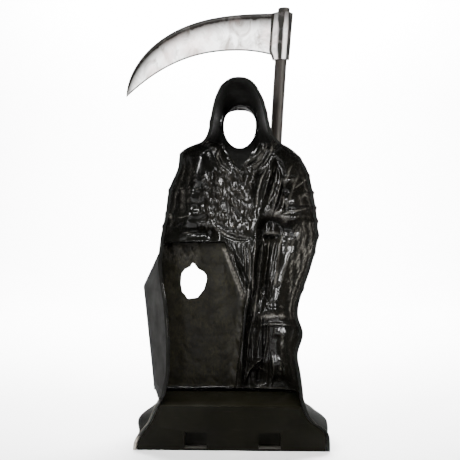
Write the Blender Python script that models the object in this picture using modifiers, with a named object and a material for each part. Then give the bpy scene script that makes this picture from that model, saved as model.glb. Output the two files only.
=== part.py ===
"""Face-in-hole statue of a hooded reaper: an open-backed moulded shell, a rear step and a scythe.

Metres, +Z up. The open back that people stand behind faces -Y, and the modelled front faces +Y.
"""
import math

import bmesh
import bpy

# Whole statue
FIGURE_HEIGHT = 1.988       # floor to the crown of the hood
BASE_WIDTH = 1.045          # outer edges of the base flange on the floor
BASE_X = -0.0045            # middle of the base, off the middle of the figure
BASE_DEPTH = 0.560          # back plane to the front of the moulded ground
BASE_HEIGHT = 0.300         # floor to where the flared base meets the robe
GROUND_BULGE = 0.022        # relief of the moulded ground at the front
STONE_BULGE = 0.065         # how far the stones at the ends swell past the plain side walls
SHELL_WALL = 0.008
FLANGE_WIDTH = 0.020
FIT_GAP = 0.0003            # clearance between neighbouring pieces

# Holes for the visitor's face and hand
FACE_HOLE_WIDTH = 0.180
FACE_HOLE_HEIGHT = 0.219
FACE_HOLE_DROP = 0.252      # crown of the hood to the middle of the hole
FACE_HOLE_X = 0.033
FACE_HOLE_CORNERS = 2.7       # 2 is an oval, more gives the upper half square corners
COFFIN_HOLE_WIDTH = 0.150
COFFIN_HOLE_HEIGHT = 0.220
COFFIN_HOLE_Z = 0.866

# Coffin, six-sided, seen from the back as a deep recess
COFFIN_X = -0.2215
COFFIN_TOP = 1.084
COFFIN_TOP_WIDTH = 0.355
COFFIN_SHOULDER_WIDTH = 0.593
COFFIN_SHOULDER_Z = 0.808
COFFIN_LEAN = 0.028         # the left shoulder is this much higher, the right one lower
COFFIN_FOOT_WIDTH = 0.422
COFFIN_FACE_DEPTH = 0.385   # back plane to the inside of the lid

# Step at the back, with two fork pockets
STEP_HEIGHT = 0.237
STEP_DEPTH = 0.345
STEP_WALL = 0.008
STEP_FOOT = 0.045           # inward flange that the step stands on
STEP_SIDE_GAP = 0.002       # bonding gap between the step's ends and the shell
POCKET_WIDTH = 0.118
POCKET_HEIGHT = 0.084
POCKET_SPACING = 0.394
POCKET_DEPTH = 0.060
POCKET_SILL = 0.011
POCKET_X = 0.003

# Scythe
POLE_TOP = 2.440
POLE_RADIUS = 0.0355
POLE_LEAN = 0.060           # metres sideways for each metre of height
SOCKET_DEPTH = 0.070
FIST_RADIUS = 0.056
COLLAR_WALL = 0.011         # thinnest wall of the collar round the pole
COLLAR_DROP = 0.030         # pole top down to the collar and the back of the blade
COLLAR_LENGTH = 0.268
BLADE_REACH = 0.630         # base middle to the blade's tip
BLADE_DROP = 0.480          # back of the blade down to its tip
BLADE_WIDTH = 0.213         # back to cutting edge, near the collar
BLADE_SPINE = 0.026         # thickness along the back of the blade
BLADE_SPINE_WIDTH = 0.030
BLADE_EDGE = 0.005          # thickness along the cutting edge

REAR = -BASE_DEPTH / 2
UNIT = FIGURE_HEIGHT / 100   # the carving is laid out in hundredths of the figure's height
SIDE_SHIFT = (BLADE_REACH - BASE_WIDTH / 2 - BASE_X) / 2
UNDER = 0.012                # the shell is lofted this far below the floor, then trimmed flat
POLE_FOOT_Z = 57.8 * UNIT    # floor of the socket in the fist
POLE_TOP_X = 14.45 * UNIT
POLE_DEPTH = 23.64 * UNIT    # back plane to the pole's axis, through the fist
GROUND_TOP = STEP_HEIGHT + 0.018   # where the robe and the coffin stand on the moulded ground

# Outline of the open back in hundredths of the height: height, left edge, right edge
RIM = [
    (14.0, -18.9, 19.0), (20.1, -17.9, 18.4), (25.5, -17.8, 17.6), (31.0, -18.0, 19.0),
    (35.8, -18.4, 17.7), (39.7, -18.8, 18.1), (48.6, -20.1, 21.1), (56.6, -19.5, 23.0),
    (63.1, -18.2, 22.7), (69.6, -17.3, 21.6), (75.5, -14.9, 20.0), (79.3, -14.3, 17.4),
    (80.9, -12.7, 15.5), (82.6, -8.6, 12.7), (85.0, -6.9, 10.8), (89.1, -6.1, 9.7),
    (93.9, -5.1, 8.5), (96.7, -4.0, 7.1), (98.1, -3.2, 6.3), (99.4, -1.7, 5.0), (100.0, -0.8, 4.0),
]
# How far the edges spread from the robe to the floor, at shares of the base's height: left, right
BASE_FLARE = [
    (0.0, 1.0, 1.0), (0.15, 0.96, 1.0), (0.30, 0.80, 0.96), (0.40, 0.64, 0.80), (0.50, 0.49, 0.48),
    (0.60, 0.40, 0.27), (0.75, 0.27, 0.12), (0.90, 0.11, 0.03), (1.0, 0.0, 0.0),
]
# How far the edge of the open back and the front of the figure stand from the back plane
RIM_DEPTH = [(12.0, 0.0), (15.0, 0.6), (30.0, 2.5), (50.0, 4.0), (75.0, 5.5), (100.0, 7.0)]
FRONT_DEPTH = [
    (15.0, 17.6), (22.0, 16.2), (40.0, 15.6), (56.0, 17.2), (64.0, 17.8), (74.0, 17.2),
    (81.0, 17.6), (86.0, 19.0), (91.0, 19.4), (94.0, 18.9), (96.5, 16.8), (98.3, 13.4),
    (99.5, 10.8), (100.0, 7.0),
]


def smooth_step(value):
    value = min(max(value, 0.0), 1.0)
    return value * value * (3 - 2 * value)


def along(stations, height, column=1):
    """Reads one column of a table of stations, with level tangents at its ends."""
    if height <= stations[0][0]:
        return stations[0][column]
    if height >= stations[-1][0]:
        return stations[-1][column]
    index = 0
    while height > stations[index + 1][0]:
        index += 1
    low, high = stations[index], stations[index + 1]

    def slope(at):
        if at in (0, len(stations) - 1):
            return 0.0
        before, after = stations[at - 1], stations[at + 1]
        return (after[column] - before[column]) / (after[0] - before[0])

    span = high[0] - low[0]
    t = (height - low[0]) / span
    return (low[column] * (1 + 2 * t) * (1 - t) ** 2 + high[column] * (3 - 2 * t) * t ** 2
            + span * slope(index) * t * (1 - t) ** 2 - span * slope(index + 1) * (1 - t) * t ** 2)


def ridge(x, z, start, end, radius, fall=1.0):
    """A rounded ridge along a line, 1 on the line and 0 past the radius."""
    run = (end[0] - start[0], end[1] - start[1])
    share = ((x - start[0]) * run[0] + (z - start[1]) * run[1]) / (run[0] ** 2 + run[1] ** 2)
    share = min(max(share, 0.0), 1.0)
    away = math.hypot(x - start[0] - share * run[0], z - start[1] - share * run[1])
    return math.cos(min(away / radius, 1.0) * math.pi / 2) ** (2 * fall)


def chain(x, z, points, radius, fall=1.0):
    return max(ridge(x, z, a, b, radius, fall) for a, b in zip(points, points[1:]))


def fan(x, z, low, high, count, sway=0.0):
    """Upright folds between two slanted sides; low and high give a height, a left and a right."""
    rise = (z - low[0]) / (high[0] - low[0])
    if not 0 < rise < 1:
        return 0.0
    left = low[1] + (high[1] - low[1]) * rise + sway * math.sin(math.pi * rise)
    right = low[2] + (high[2] - low[2]) * rise + sway * math.sin(math.pi * rise)
    across = (x - left) / (right - left)
    if not 0 < across < 1:
        return 0.0
    fade = smooth_step(8 * across) * smooth_step(8 * (1 - across))
    fade *= smooth_step(5 * rise) * smooth_step(4 * (1 - rise))
    return fade * math.cos(2 * math.pi * count * across)


POLE_BELOW = [(10.4, 57.5), (7.4, 47.5), (5.6, 34.0), (4.1, 13.0)]   # the moulded lower pole
FIST = (10.6, 58.2)
ELBOW = (20.6, 56.8)
LEFT_ELBOW = (-17.6, 58.5)
LEFT_HAND = (-7.2, 56.6)
BROW = (1.66, 87.6, 6.3, 7.4)        # the hood's thick edge round the hole: middle, half width, half height
HOLE_LIP = (1.75, 88.6, 5.1, 5.7)    # where the wall steps forward to the hole


def sleeve_hem(x):
    """Height of the wide sleeve's lower edge, which rises to the right."""
    return 33.2 + 0.22 * (x - 7.2) + 0.35 * max(x - 13.0, 0.0) ** 1.5


def ring_share(x, z, ring):
    """Distance from the middle of an oval, 1 on its outline."""
    return math.hypot((x - ring[0]) / ring[2], (z - ring[1]) / ring[3])


def drapery(x, z):
    """Depth of the carved forms in front of the plain robe, all in hundredths of the height."""
    depth = 1.5 * chain(x, z, [(14.8, 78.0), ELBOW], 5.4)
    depth += 1.2 * chain(x, z, [(-11.8, 78.0), LEFT_ELBOW], 5.0)
    forearm = ridge(x, z, ELBOW, FIST, 4.2)
    left_forearm = ridge(x, z, LEFT_ELBOW, LEFT_HAND, 3.6)
    sleeve = smooth_step((x - 6.0) / 2.4) * smooth_step((z - sleeve_hem(x)) / 1.8)
    sleeve *= smooth_step((60.0 - z) / 4.0)
    depth += 3.8 * forearm + 2.4 * left_forearm + 2.8 * sleeve * (1 - forearm)
    depth += 3.8 * ridge(x, z, FIST, (FIST[0], FIST[1] + 0.8), 5.0)
    depth += 2.4 * chain(x, z, POLE_BELOW, 2.3, 0.7) * (1 - 0.5 * sleeve)
    depth += 0.65 * fan(x, z, (34.0, 6.6, 18.5), (61.0, 9.5, 22.5), 4.0, -0.6)
    depth += 0.5 * fan(x, z, (14.5, 0.8, 17.5), (52.0, 4.6, 15.0), 4.0) * (1 - 0.8 * sleeve)
    depth += 0.7 * fan(x, z, (57.0, -7.5, 7.5), (80.0, -13.0, 14.0), 5.0)
    for fold in range(4):
        lift = 4.6 * fold
        depth += 0.75 * ridge(x, z, (11.5, 70.5 - lift), (20.5, 66.0 - lift), 1.7)
        depth += 0.75 * ridge(x, z, (-8.5, 71.0 - lift), (-16.5, 67.5 - lift), 1.7)
    brow = ring_share(x, z, BROW)
    depth += 1.7 * math.cos(min(abs(brow - 1.0) / 0.42, 1.0) * math.pi / 2) ** 2
    depth += 1.8 * smooth_step((1.0 - ring_share(x, z, HOLE_LIP)) / 0.24)
    for side, top, foot in ((-1, (-4.5, 84.5), (1.2, 71.5)), (1, (8.2, 84.0), (3.0, 71.5))):
        depth += 1.1 * ridge(x, z, top, foot, 1.9) + 0.5 * ridge(
            x, z, (top[0] + 2.2 * side, top[1] - 3.5), (foot[0] + 2.8 * side, foot[1] - 3.0), 1.8)
    depth += 0.8 * chain(x, z, [(-2.6, 57.8), (2.2, 56.2), (7.0, 57.4)], 1.2)
    return depth


def rim_edges(z):
    """Left and right outer edges of the flange at a height."""
    edges = []
    for side, column in ((-1, 1), (1, 2)):
        edge = along(RIM, max(z, BASE_HEIGHT) / UNIT, column) * UNIT
        floor_edge = BASE_X + side * BASE_WIDTH / 2
        edges.append(edge + (floor_edge - edge) * along(BASE_FLARE, z / BASE_HEIGHT, column))
    return edges


def coffin_edges(z):
    """Left and right edges of the coffin lid at a height."""
    edges = []
    for side in (-1, 1):
        shoulder = COFFIN_SHOULDER_Z - side * COFFIN_LEAN
        if z > shoulder:
            share = (COFFIN_TOP - z) / (COFFIN_TOP - shoulder)
            half = COFFIN_TOP_WIDTH + (COFFIN_SHOULDER_WIDTH - COFFIN_TOP_WIDTH) * share
        else:
            share = (shoulder - z) / shoulder
            half = COFFIN_SHOULDER_WIDTH + (COFFIN_FOOT_WIDTH - COFFIN_SHOULDER_WIDTH) * share
        edges.append(COFFIN_X + side * half / 2)
    return edges


def stones_beside(z):
    """How far the stones at the ends of the base swell out, from the floor up to the robe."""
    middle, reach = 0.55 * BASE_HEIGHT, 0.26 * BASE_HEIGHT
    return STONE_BULGE * math.cos(min(abs(z - middle) / reach, 1.0) * math.pi / 2) ** 1.5


def ground(x, z):
    """Front of the base: rounded stones on a slope that runs up to the hem."""
    start = 0.78 * STEP_HEIGHT
    climb = min(max((z - start) / (GROUND_TOP - start), 0.0), 1.0) ** 4
    hem = along(FRONT_DEPTH, GROUND_TOP / UNIT) * UNIT
    stones = 0.5 + 0.5 * math.sin(x * 29 + 1.3) * math.cos(z * 31 + x * 9)
    front = BASE_DEPTH - SHELL_WALL - 0.002
    return front - (front - hem) * climb - GROUND_BULGE * stones * (1 - climb)


def front_depth(x, z, left, right):
    """Depth of the inside of the front wall behind a point of the figure."""
    middle, half = (left + right) / 2, (right - left) / 2
    if z < GROUND_TOP:
        crown = 1 - 0.10 * ((x - middle) / half) ** 2
        return ground(x, z) * crown
    share = z / UNIT
    crown = 1 - 0.13 * abs((x - middle) / half) ** 2.4
    depth = along(FRONT_DEPTH, share) * crown + drapery(x / UNIT, share)
    return max(depth, along(RIM_DEPTH, share)) * UNIT


# Columns of the sections: each side wall, the coffin, the coffin's side and the robe
WALL_COUNT, COFFIN_COUNT, SIDE_COUNT, ROBE_COUNT = 5, 14, 2, 17


def shell_row(z):
    """One level section of the inside of the shell, from the left flange to the right one."""
    left, right = rim_edges(z)
    back = along(RIM_DEPTH, z / UNIT) * UNIT if z > STEP_HEIGHT else 0.0
    flange = min(FLANGE_WIDTH, (right - left) / 5)
    left_wall, right_wall = left + flange, right - flange
    half = (right_wall - left_wall) / 2
    turn = 0.36 * half
    square = 0.45 + 0.55 * smooth_step((z - STEP_HEIGHT) / (0.7 * BASE_HEIGHT))
    left_face, right_face = left_wall + turn, right_wall - turn
    coffin_left, coffin_right = coffin_edges(z)
    in_coffin = GROUND_TOP <= z <= COFFIN_TOP
    if z < GROUND_TOP:
        coffin_right = coffin_edges(GROUND_TOP)[1]
    elif z > COFFIN_TOP:
        rise = smooth_step((z - COFFIN_TOP) / (0.35 * (FIGURE_HEIGHT - COFFIN_TOP)))
        middle = left_face + 0.47 * (right_face - left_face)
        coffin_right += (middle - coffin_right) * rise
    if in_coffin:
        left_face = coffin_left
    side_width = 0.012 if in_coffin else (right_face - left_face) / 36

    def depth_at(x):
        return front_depth(x, z, left_wall, right_wall)

    points = [(left, back)]
    swell = 0.0
    if z < BASE_HEIGHT:
        swell = stones_beside(z) + flange * smooth_step((BASE_HEIGHT - z) / (0.2 * BASE_HEIGHT))
    face = COFFIN_FACE_DEPTH if in_coffin else depth_at(left_face)
    for step in range(WALL_COUNT + 1):
        share = step / WALL_COUNT
        if in_coffin:
            points.append((left_wall + (left_face - left_wall) * share, back + (face - back) * share))
        else:
            angle = share * math.pi / 2
            bulge = swell * max(math.sin(angle * 2), 0.0) ** 0.8
            points.append((left_wall + turn * (1 - math.cos(angle) ** square) - bulge,
                           back + (face - back) * math.sin(angle) ** square))
    for step in range(1, COFFIN_COUNT + 1):
        x = left_face + (coffin_right - side_width - left_face) * step / COFFIN_COUNT
        points.append((x, COFFIN_FACE_DEPTH if in_coffin else depth_at(x)))
    for step in range(1, SIDE_COUNT + 1):
        share = step / SIDE_COUNT
        x = coffin_right - side_width * (1 - share)
        points.append((x, depth_at(x) * share + points[-1][1] * (1 - share)))
    for step in range(1, ROBE_COUNT + 1):
        x = coffin_right + (right_face - coffin_right) * step / ROBE_COUNT
        points.append((x, depth_at(x)))
    face = depth_at(right_face)
    for step in range(1, WALL_COUNT + 1):
        angle = (1 - step / WALL_COUNT) * math.pi / 2
        bulge = swell * max(math.sin(angle * 2), 0.0) ** 0.8
        points.append((right_wall - turn * (1 - math.cos(angle) ** square) + bulge,
                       back + (face - back) * math.sin(angle) ** square))
    points.append((right, back))
    return [(x, REAR + depth, z) for x, depth in points]


def levels():
    """Heights of the sections, closer where the form turns quickly."""
    coffin_lip = 0.012
    spans = [
        (-UNDER, -UNDER, 0), (0.0, STEP_HEIGHT, 4), (GROUND_TOP, BASE_HEIGHT - 0.012, 1),
        (BASE_HEIGHT, 0.28 * FIGURE_HEIGHT, 6), (0.30 * FIGURE_HEIGHT, COFFIN_TOP, 10),
        (COFFIN_TOP + coffin_lip, 0.80 * FIGURE_HEIGHT, 11),
        (0.818 * FIGURE_HEIGHT, 0.94 * FIGURE_HEIGHT, 6),
    ]
    heights = [low + (high - low) * step / max(count, 1) for low, high, count in spans
               for step in range(count + 1)]
    crown = 0.06 * FIGURE_HEIGHT
    heights += [FIGURE_HEIGHT - crown * (1 - step / 4) ** 1.7 for step in range(1, 5)]
    return heights


def new_object(name, mesh, collection):
    thing = bpy.data.objects.new(name, mesh)
    collection.objects.link(thing)
    return thing


def mesh_from(name, points, faces):
    mesh = bpy.data.meshes.new(name)
    mesh.from_pydata(points, [], faces)
    return mesh


def loft(rows, closed=False):
    """Quads between rows of equal length; closed rows join up and get flat ends."""
    width = len(rows[0])
    points = [point for row in rows for point in row]
    wrap = width if closed else width - 1
    faces = [(r * width + c, r * width + (c + 1) % width,
              (r + 1) * width + (c + 1) % width, (r + 1) * width + c)
             for r in range(len(rows) - 1) for c in range(wrap)]
    if closed:
        faces.append(tuple(reversed(range(width))))
        faces.append(tuple(range((len(rows) - 1) * width, len(rows) * width)))
    return points, faces


def cut(thing, cutter, operation='DIFFERENCE'):
    cutter.hide_render = True
    cutter.display_type = 'WIRE'
    modifier = thing.modifiers.new(cutter.name, 'BOOLEAN')
    modifier.object = cutter
    modifier.operation = operation
    modifier.solver = 'EXACT'


def face_outward(thing):
    solid = bmesh.new()
    solid.from_mesh(thing.data)
    bmesh.ops.recalc_face_normals(solid, faces=solid.faces)
    solid.to_mesh(thing.data)
    solid.free()


def prism(name, outline, front, back, collection):
    """A flat outline in x and z, carried from one depth to another."""
    rows = [[(x, REAR + depth, z) for x, z in outline] for depth in (front, back)]
    points, faces = loft(rows, closed=True)
    thing = new_object(name, mesh_from(name, points, faces), collection)
    face_outward(thing)
    return thing


def face_hole_outline():
    """Egg shape, flattened at the brow and a little narrower at the chin."""
    middle = FIGURE_HEIGHT - FACE_HOLE_DROP
    outline = []
    for step in range(24):
        angle = 2 * math.pi * (step + 0.5) / 24
        power = 2 / FACE_HOLE_CORNERS if math.sin(angle) > 0 else 1.0
        across = math.copysign(abs(math.cos(angle)) ** power, math.cos(angle))
        up = math.copysign(abs(math.sin(angle)) ** power, math.sin(angle))
        chin = 1 + 0.07 * up
        outline.append((FACE_HOLE_X + FACE_HOLE_WIDTH / 2 * across * chin,
                        middle + FACE_HOLE_HEIGHT / 2 * up))
    return outline


def coffin_hole_outline():
    """A hole made to look as if the lid had been broken through."""
    outline = []
    for step in range(14):
        angle = 2 * math.pi * step / 14
        ragged = 1 - 0.09 * (step % 2) + 0.04 * math.sin(3 * angle + 0.6)
        outline.append((COFFIN_X - 0.011 + COFFIN_HOLE_WIDTH / 2 * math.cos(angle) * ragged,
                        COFFIN_HOLE_Z + COFFIN_HOLE_HEIGHT / 2 * math.sin(angle) * ragged))
    return outline


def pole_x(z):
    return POLE_TOP_X - (POLE_TOP - z) * POLE_LEAN


def pole_section(z, radius, sides=14):
    middle = pole_x(z)
    return [(middle + radius * math.cos(2 * math.pi * side / sides),
             REAR + POLE_DEPTH + radius * math.sin(2 * math.pi * side / sides), z)
            for side in range(sides)]


def fist_section(share, sides=14):
    """A level cut through the hand: four fingers stacked round the pole, flat on top."""
    bottom = POLE_FOOT_Z - 0.45 * FIST_RADIUS
    z = bottom + (SOCKET_DEPTH + 0.45 * FIST_RADIUS) * share
    finger = 0.90 + 0.10 * abs(math.sin(4 * math.pi * share))
    radius = FIST_RADIUS * finger * (0.62 + 0.38 * smooth_step(6 * share))
    return [(pole_x(z) + radius * math.cos(2 * math.pi * side / sides),
             REAR + POLE_DEPTH + radius * math.sin(2 * math.pi * side / sides), z)
            for side in range(sides)]


def make_shell(parts, cutters):
    points, faces = loft([shell_row(z) for z in levels()])
    shell = new_object("figure_shell", mesh_from("figure_shell", points, faces), parts)
    wall = shell.modifiers.new("wall", 'SOLIDIFY')
    wall.thickness = SHELL_WALL
    wall.offset = -1.0
    rows = [fist_section(step / 16) for step in range(17)]
    points, faces = loft(rows, closed=True)
    fist = new_object("cutter_fist", mesh_from("cutter_fist", points, faces), cutters)
    cut(shell, fist, 'UNION')
    points, faces = loft([pole_section(POLE_FOOT_Z - FIT_GAP, POLE_RADIUS + FIT_GAP),
                          pole_section(rows[-1][0][2] + 0.05, POLE_RADIUS + FIT_GAP)], closed=True)
    cut(shell, new_object("cutter_socket", mesh_from("cutter_socket", points, faces), cutters))
    cut(shell, prism("cutter_face", face_hole_outline(), 0.2, BASE_DEPTH, cutters))
    cut(shell, prism("cutter_coffin_hole", coffin_hole_outline(), 0.3, BASE_DEPTH, cutters))
    floor = [(-BASE_WIDTH, -4 * UNDER), (BASE_WIDTH, -4 * UNDER), (BASE_WIDTH, 0.0), (-BASE_WIDTH, 0.0)]
    cut(shell, prism("cutter_floor", floor, -0.2 * BASE_DEPTH, 1.2 * BASE_DEPTH, cutters))
    return shell


def step_outline(inset):
    """Back view of the step or of its hollow, following the flare of the base inside the flange."""
    heights = [inset] + [z for z in levels() if inset + 0.01 < z < STEP_HEIGHT - inset - 0.004]
    heights.append(STEP_HEIGHT - inset)
    sides = [rim_edges(z) for z in heights]
    edge = FLANGE_WIDTH + FIT_GAP + STEP_SIDE_GAP + inset
    right = [(side[1] - edge, z) for side, z in zip(sides, heights)]
    left = [(side[0] + edge, z) for side, z in zip(sides, heights)]
    return right + left[::-1]


def pocket_outline(middle, wall):
    """Back view of a pocket, or of the lining round it, which stays above the step's foot."""
    half = POCKET_WIDTH / 2 + wall
    low, high = POCKET_SILL - 0.4 * wall, POCKET_SILL + POCKET_HEIGHT + wall
    return [(middle - half, low), (middle + half, low), (middle + half, high), (middle - half, high)]


def make_step(parts, cutters):
    """The step is hollow, stands on a flange turned in round its open underside, and has two pockets."""
    step = prism("rear_step", step_outline(0.0), 0.0, STEP_DEPTH, parts)
    cut(step, prism("cutter_step", step_outline(STEP_WALL),
                    STEP_WALL, STEP_DEPTH - STEP_WALL, cutters))
    left, right = (edge - side * (FLANGE_WIDTH + STEP_FOOT)
                   for side, edge in zip((-1, 1), rim_edges(0.0)))
    mouth = [(left, -STEP_WALL), (right, -STEP_WALL), (right, 2 * STEP_WALL), (left, 2 * STEP_WALL)]
    cut(step, prism("cutter_underside", mouth, STEP_FOOT, STEP_DEPTH - STEP_FOOT, cutters))
    for side, name in ((-1, "left"), (1, "right")):
        middle = POCKET_X + side * POCKET_SPACING / 2
        lining = prism("cutter_lining_" + name, pocket_outline(middle, STEP_WALL),
                       STEP_WALL / 2, POCKET_DEPTH + STEP_WALL, cutters)
        cut(step, lining, 'UNION')
        cut(step, prism("cutter_pocket_" + name, pocket_outline(middle, 0.0),
                        -STEP_WALL, POCKET_DEPTH, cutters))
    return step


def make_pole(parts):
    """A round wooden-looking pole with a softly rounded top end."""
    shoulder = POLE_TOP - 0.35 * POLE_RADIUS
    rows = [pole_section(POLE_FOOT_Z, POLE_RADIUS), pole_section(shoulder, POLE_RADIUS),
            pole_section(POLE_TOP - 0.1 * POLE_RADIUS, 0.93 * POLE_RADIUS),
            pole_section(POLE_TOP, 0.78 * POLE_RADIUS)]
    points, faces = loft(rows, closed=True)
    return new_object("scythe_pole", mesh_from("scythe_pole", points, faces), parts)


def blade_section(share):
    """Six corners of the blade at a share of its length from the collar to the tip."""
    root_x = pole_x(POLE_TOP - COLLAR_DROP)
    length = root_x + BLADE_REACH
    top = POLE_TOP - COLLAR_DROP
    back = top - BLADE_DROP * (1 - (1 - share ** 3) ** 0.62)
    belly = 0.29
    fall = top - BLADE_WIDTH
    if share > belly:
        edge = fall - (BLADE_DROP - BLADE_WIDTH) * ((share - belly) / (1 - belly)) ** 2.3
    else:
        edge = fall - 0.11 * BLADE_WIDTH * ((belly - share) / 0.2) ** 2
    x = root_x - length * share
    width = max(back - edge, BLADE_EDGE)
    slant = 0.10 * (width - BLADE_EDGE) * share
    back = edge + width
    band = min(BLADE_SPINE_WIDTH, 0.4 * width)
    thick = BLADE_EDGE + (BLADE_SPINE - BLADE_EDGE) * min(width / BLADE_WIDTH * 2.2, 1.0)
    middle = REAR + POLE_DEPTH
    half, fine = thick / 2, BLADE_EDGE / 2
    return [(x - slant, middle - half * 0.7, back), (x - slant, middle + half * 0.7, back),
            (x, middle + half, back - band), (x, middle + fine, edge),
            (x, middle - fine, edge), (x, middle - half, back - band)]


def collar_section(share, sides=20):
    """A level cut through the collar, drawn out towards the blade on its left."""
    z = POLE_TOP - COLLAR_DROP - COLLAR_LENGTH * share
    middle = pole_x(z)
    near = POLE_RADIUS + COLLAR_WALL
    right = near + 0.5 * COLLAR_WALL * (1 - share)
    left = near + 2.1 * COLLAR_WALL * (1 - 0.9 * smooth_step((share - 0.78) / 0.22))
    ring = []
    for side in range(sides):
        angle = 2 * math.pi * side / sides
        reach = right if math.cos(angle) > 0 else left
        facet = 1 + 0.05 * math.cos(6 * angle)
        ring.append((middle + reach * math.cos(angle) * facet,
                     REAR + POLE_DEPTH + near * math.sin(angle) * facet, z))
    return ring


def make_blade(parts, cutters):
    """The blade and the collar that holds it on the pole, cast as one piece."""
    count = 26
    root = 0.045
    shares = [root + (1 - root) * math.sin(step / count * math.pi / 2) for step in range(count + 1)]
    points, faces = loft([blade_section(share) for share in shares], closed=True)
    blade = new_object("scythe_blade", mesh_from("scythe_blade", points, faces), parts)
    face_outward(blade)
    levels_down = [0.0, 0.2, 0.4, 0.6, 0.78, 0.86, 0.93, 1.0]
    points, faces = loft([collar_section(share) for share in levels_down], closed=True)
    collar = new_object("cutter_collar", mesh_from("cutter_collar", points, faces), cutters)
    face_outward(collar)
    cut(blade, collar, 'UNION')
    low = POLE_TOP - COLLAR_DROP - COLLAR_LENGTH - 0.05
    points, faces = loft([pole_section(low, POLE_RADIUS + FIT_GAP),
                          pole_section(POLE_TOP + 0.05, POLE_RADIUS + FIT_GAP)], closed=True)
    cut(blade, new_object("cutter_bore", mesh_from("cutter_bore", points, faces), cutters))
    return blade


def collection_named(name):
    collection = bpy.data.collections.new(name)
    bpy.context.scene.collection.children.link(collection)
    return collection


def paint(thing, name, colour, roughness, metallic=0.0):
    material = bpy.data.materials.new(name)
    material.use_nodes = True
    shader = material.node_tree.nodes["Principled BSDF"]
    shader.inputs["Base Color"].default_value = (*colour, 1.0)
    shader.inputs["Roughness"].default_value = roughness
    shader.inputs["Metallic"].default_value = metallic
    thing.data.materials.append(material)
    thing.data.shade_smooth()
    thing.data.set_sharp_from_angle(angle=math.radians(38))


def main():
    for thing in list(bpy.data.objects):
        bpy.data.objects.remove(thing, do_unlink=True)
    parts = collection_named("reaper_photo_stand_in")
    cutters = collection_named("cutters")
    paint(make_shell(parts, cutters), "black_laminate", (0.022, 0.022, 0.020), 0.32)
    paint(make_step(parts, cutters), "black_step", (0.025, 0.026, 0.022), 0.42)
    paint(make_pole(parts), "painted_pole", (0.075, 0.060, 0.050), 0.5)
    paint(make_blade(parts, cutters), "silver_paint", (0.72, 0.69, 0.68), 0.35, 0.6)

    # Everything hangs from one empty, so that the middle of the whole footprint is the origin
    middle = bpy.data.objects.new("statue_middle", None)
    parts.objects.link(middle)
    middle.location = (SIDE_SHIFT, 0.0, 0.0)
    for thing in list(parts.objects) + list(cutters.objects):
        if thing is not middle:
            thing.parent = middle


main()
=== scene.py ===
import math

import bmesh
import bpy
import numpy as np
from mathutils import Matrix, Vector, noise


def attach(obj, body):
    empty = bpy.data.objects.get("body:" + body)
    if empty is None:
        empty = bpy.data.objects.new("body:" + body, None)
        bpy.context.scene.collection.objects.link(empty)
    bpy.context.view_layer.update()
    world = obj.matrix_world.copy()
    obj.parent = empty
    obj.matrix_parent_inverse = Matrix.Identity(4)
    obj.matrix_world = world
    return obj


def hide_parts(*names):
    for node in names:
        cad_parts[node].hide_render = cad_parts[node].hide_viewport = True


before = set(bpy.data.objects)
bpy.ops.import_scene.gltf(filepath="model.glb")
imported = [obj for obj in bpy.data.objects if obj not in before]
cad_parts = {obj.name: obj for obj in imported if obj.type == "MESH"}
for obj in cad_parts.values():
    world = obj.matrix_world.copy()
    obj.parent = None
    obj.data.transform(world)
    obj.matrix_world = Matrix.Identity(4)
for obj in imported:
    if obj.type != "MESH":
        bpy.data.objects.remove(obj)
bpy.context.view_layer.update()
print("frame loaded")

# Everything is in metres. The open back that people stand behind faces -Y, the modelled front +Y.
# Depths count from the back plane. The carving is laid out in hundredths of the figure's height.
statue = {
    "height": 1.988,        # floor to the crown of the hood
    "shift": 0.056,         # middle of the figure, off the middle of the whole footprint
    "rear": -0.280,
    "wall": 0.008,
    "flange": 0.020,
    "baseWidth": 1.045,
    "baseX": -0.0045,
    "baseDepth": 0.560,
    "baseHeight": 0.300,
    "groundTop": 0.255,     # level of the moulded ground that the robe stands on
    "stepHeight": 0.237,
    "groundBulge": 0.022,
    "stoneBulge": 0.065,
    "stoneMiddle": 0.43, "stoneSpread": 0.23,   # shares of the base's height
}
unit = statue["height"] / 100

# Height, left edge and right edge of the open back
rimEdge = [
    (14.0, -18.9, 19.0), (20.1, -17.9, 18.4), (25.5, -17.8, 17.6), (31.0, -18.0, 19.0),
    (35.8, -18.4, 17.7), (39.7, -18.8, 18.1), (48.6, -20.1, 21.1), (56.6, -19.5, 23.0),
    (63.1, -18.2, 22.7), (69.6, -17.3, 21.6), (75.5, -14.9, 20.0), (79.3, -14.3, 17.4),
    (80.9, -12.7, 15.5), (82.6, -8.6, 12.7), (85.0, -6.9, 10.8), (89.1, -6.1, 9.7),
    (93.9, -5.1, 8.5), (96.7, -4.0, 7.1), (98.1, -3.2, 6.3), (99.4, -1.7, 5.0), (100.0, -0.8, 4.0),
]
# Height and depth of that edge, and of the figure's front
rimDepth = [(12.0, 0.0), (15.0, 0.6), (30.0, 2.5), (50.0, 4.0), (75.0, 5.5), (100.0, 7.0)]
frontDepth = [
    (15.0, 17.6), (22.0, 16.2), (40.0, 15.6), (56.0, 17.2), (64.0, 17.8), (74.0, 17.2),
    (81.0, 17.6), (86.0, 19.0), (91.0, 19.4), (94.0, 18.9), (96.5, 16.8), (98.3, 13.4),
    (99.5, 10.8), (100.0, 7.0),
]
# How far the edges spread from the robe to the floor, at shares of the base's height
baseFlare = [
    (0.0, 1.0, 1.0), (0.15, 0.96, 1.0), (0.30, 0.80, 0.96), (0.40, 0.64, 0.80), (0.50, 0.49, 0.48),
    (0.60, 0.40, 0.27), (0.75, 0.27, 0.12), (0.90, 0.11, 0.03), (1.0, 0.0, 0.0),
]

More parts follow.
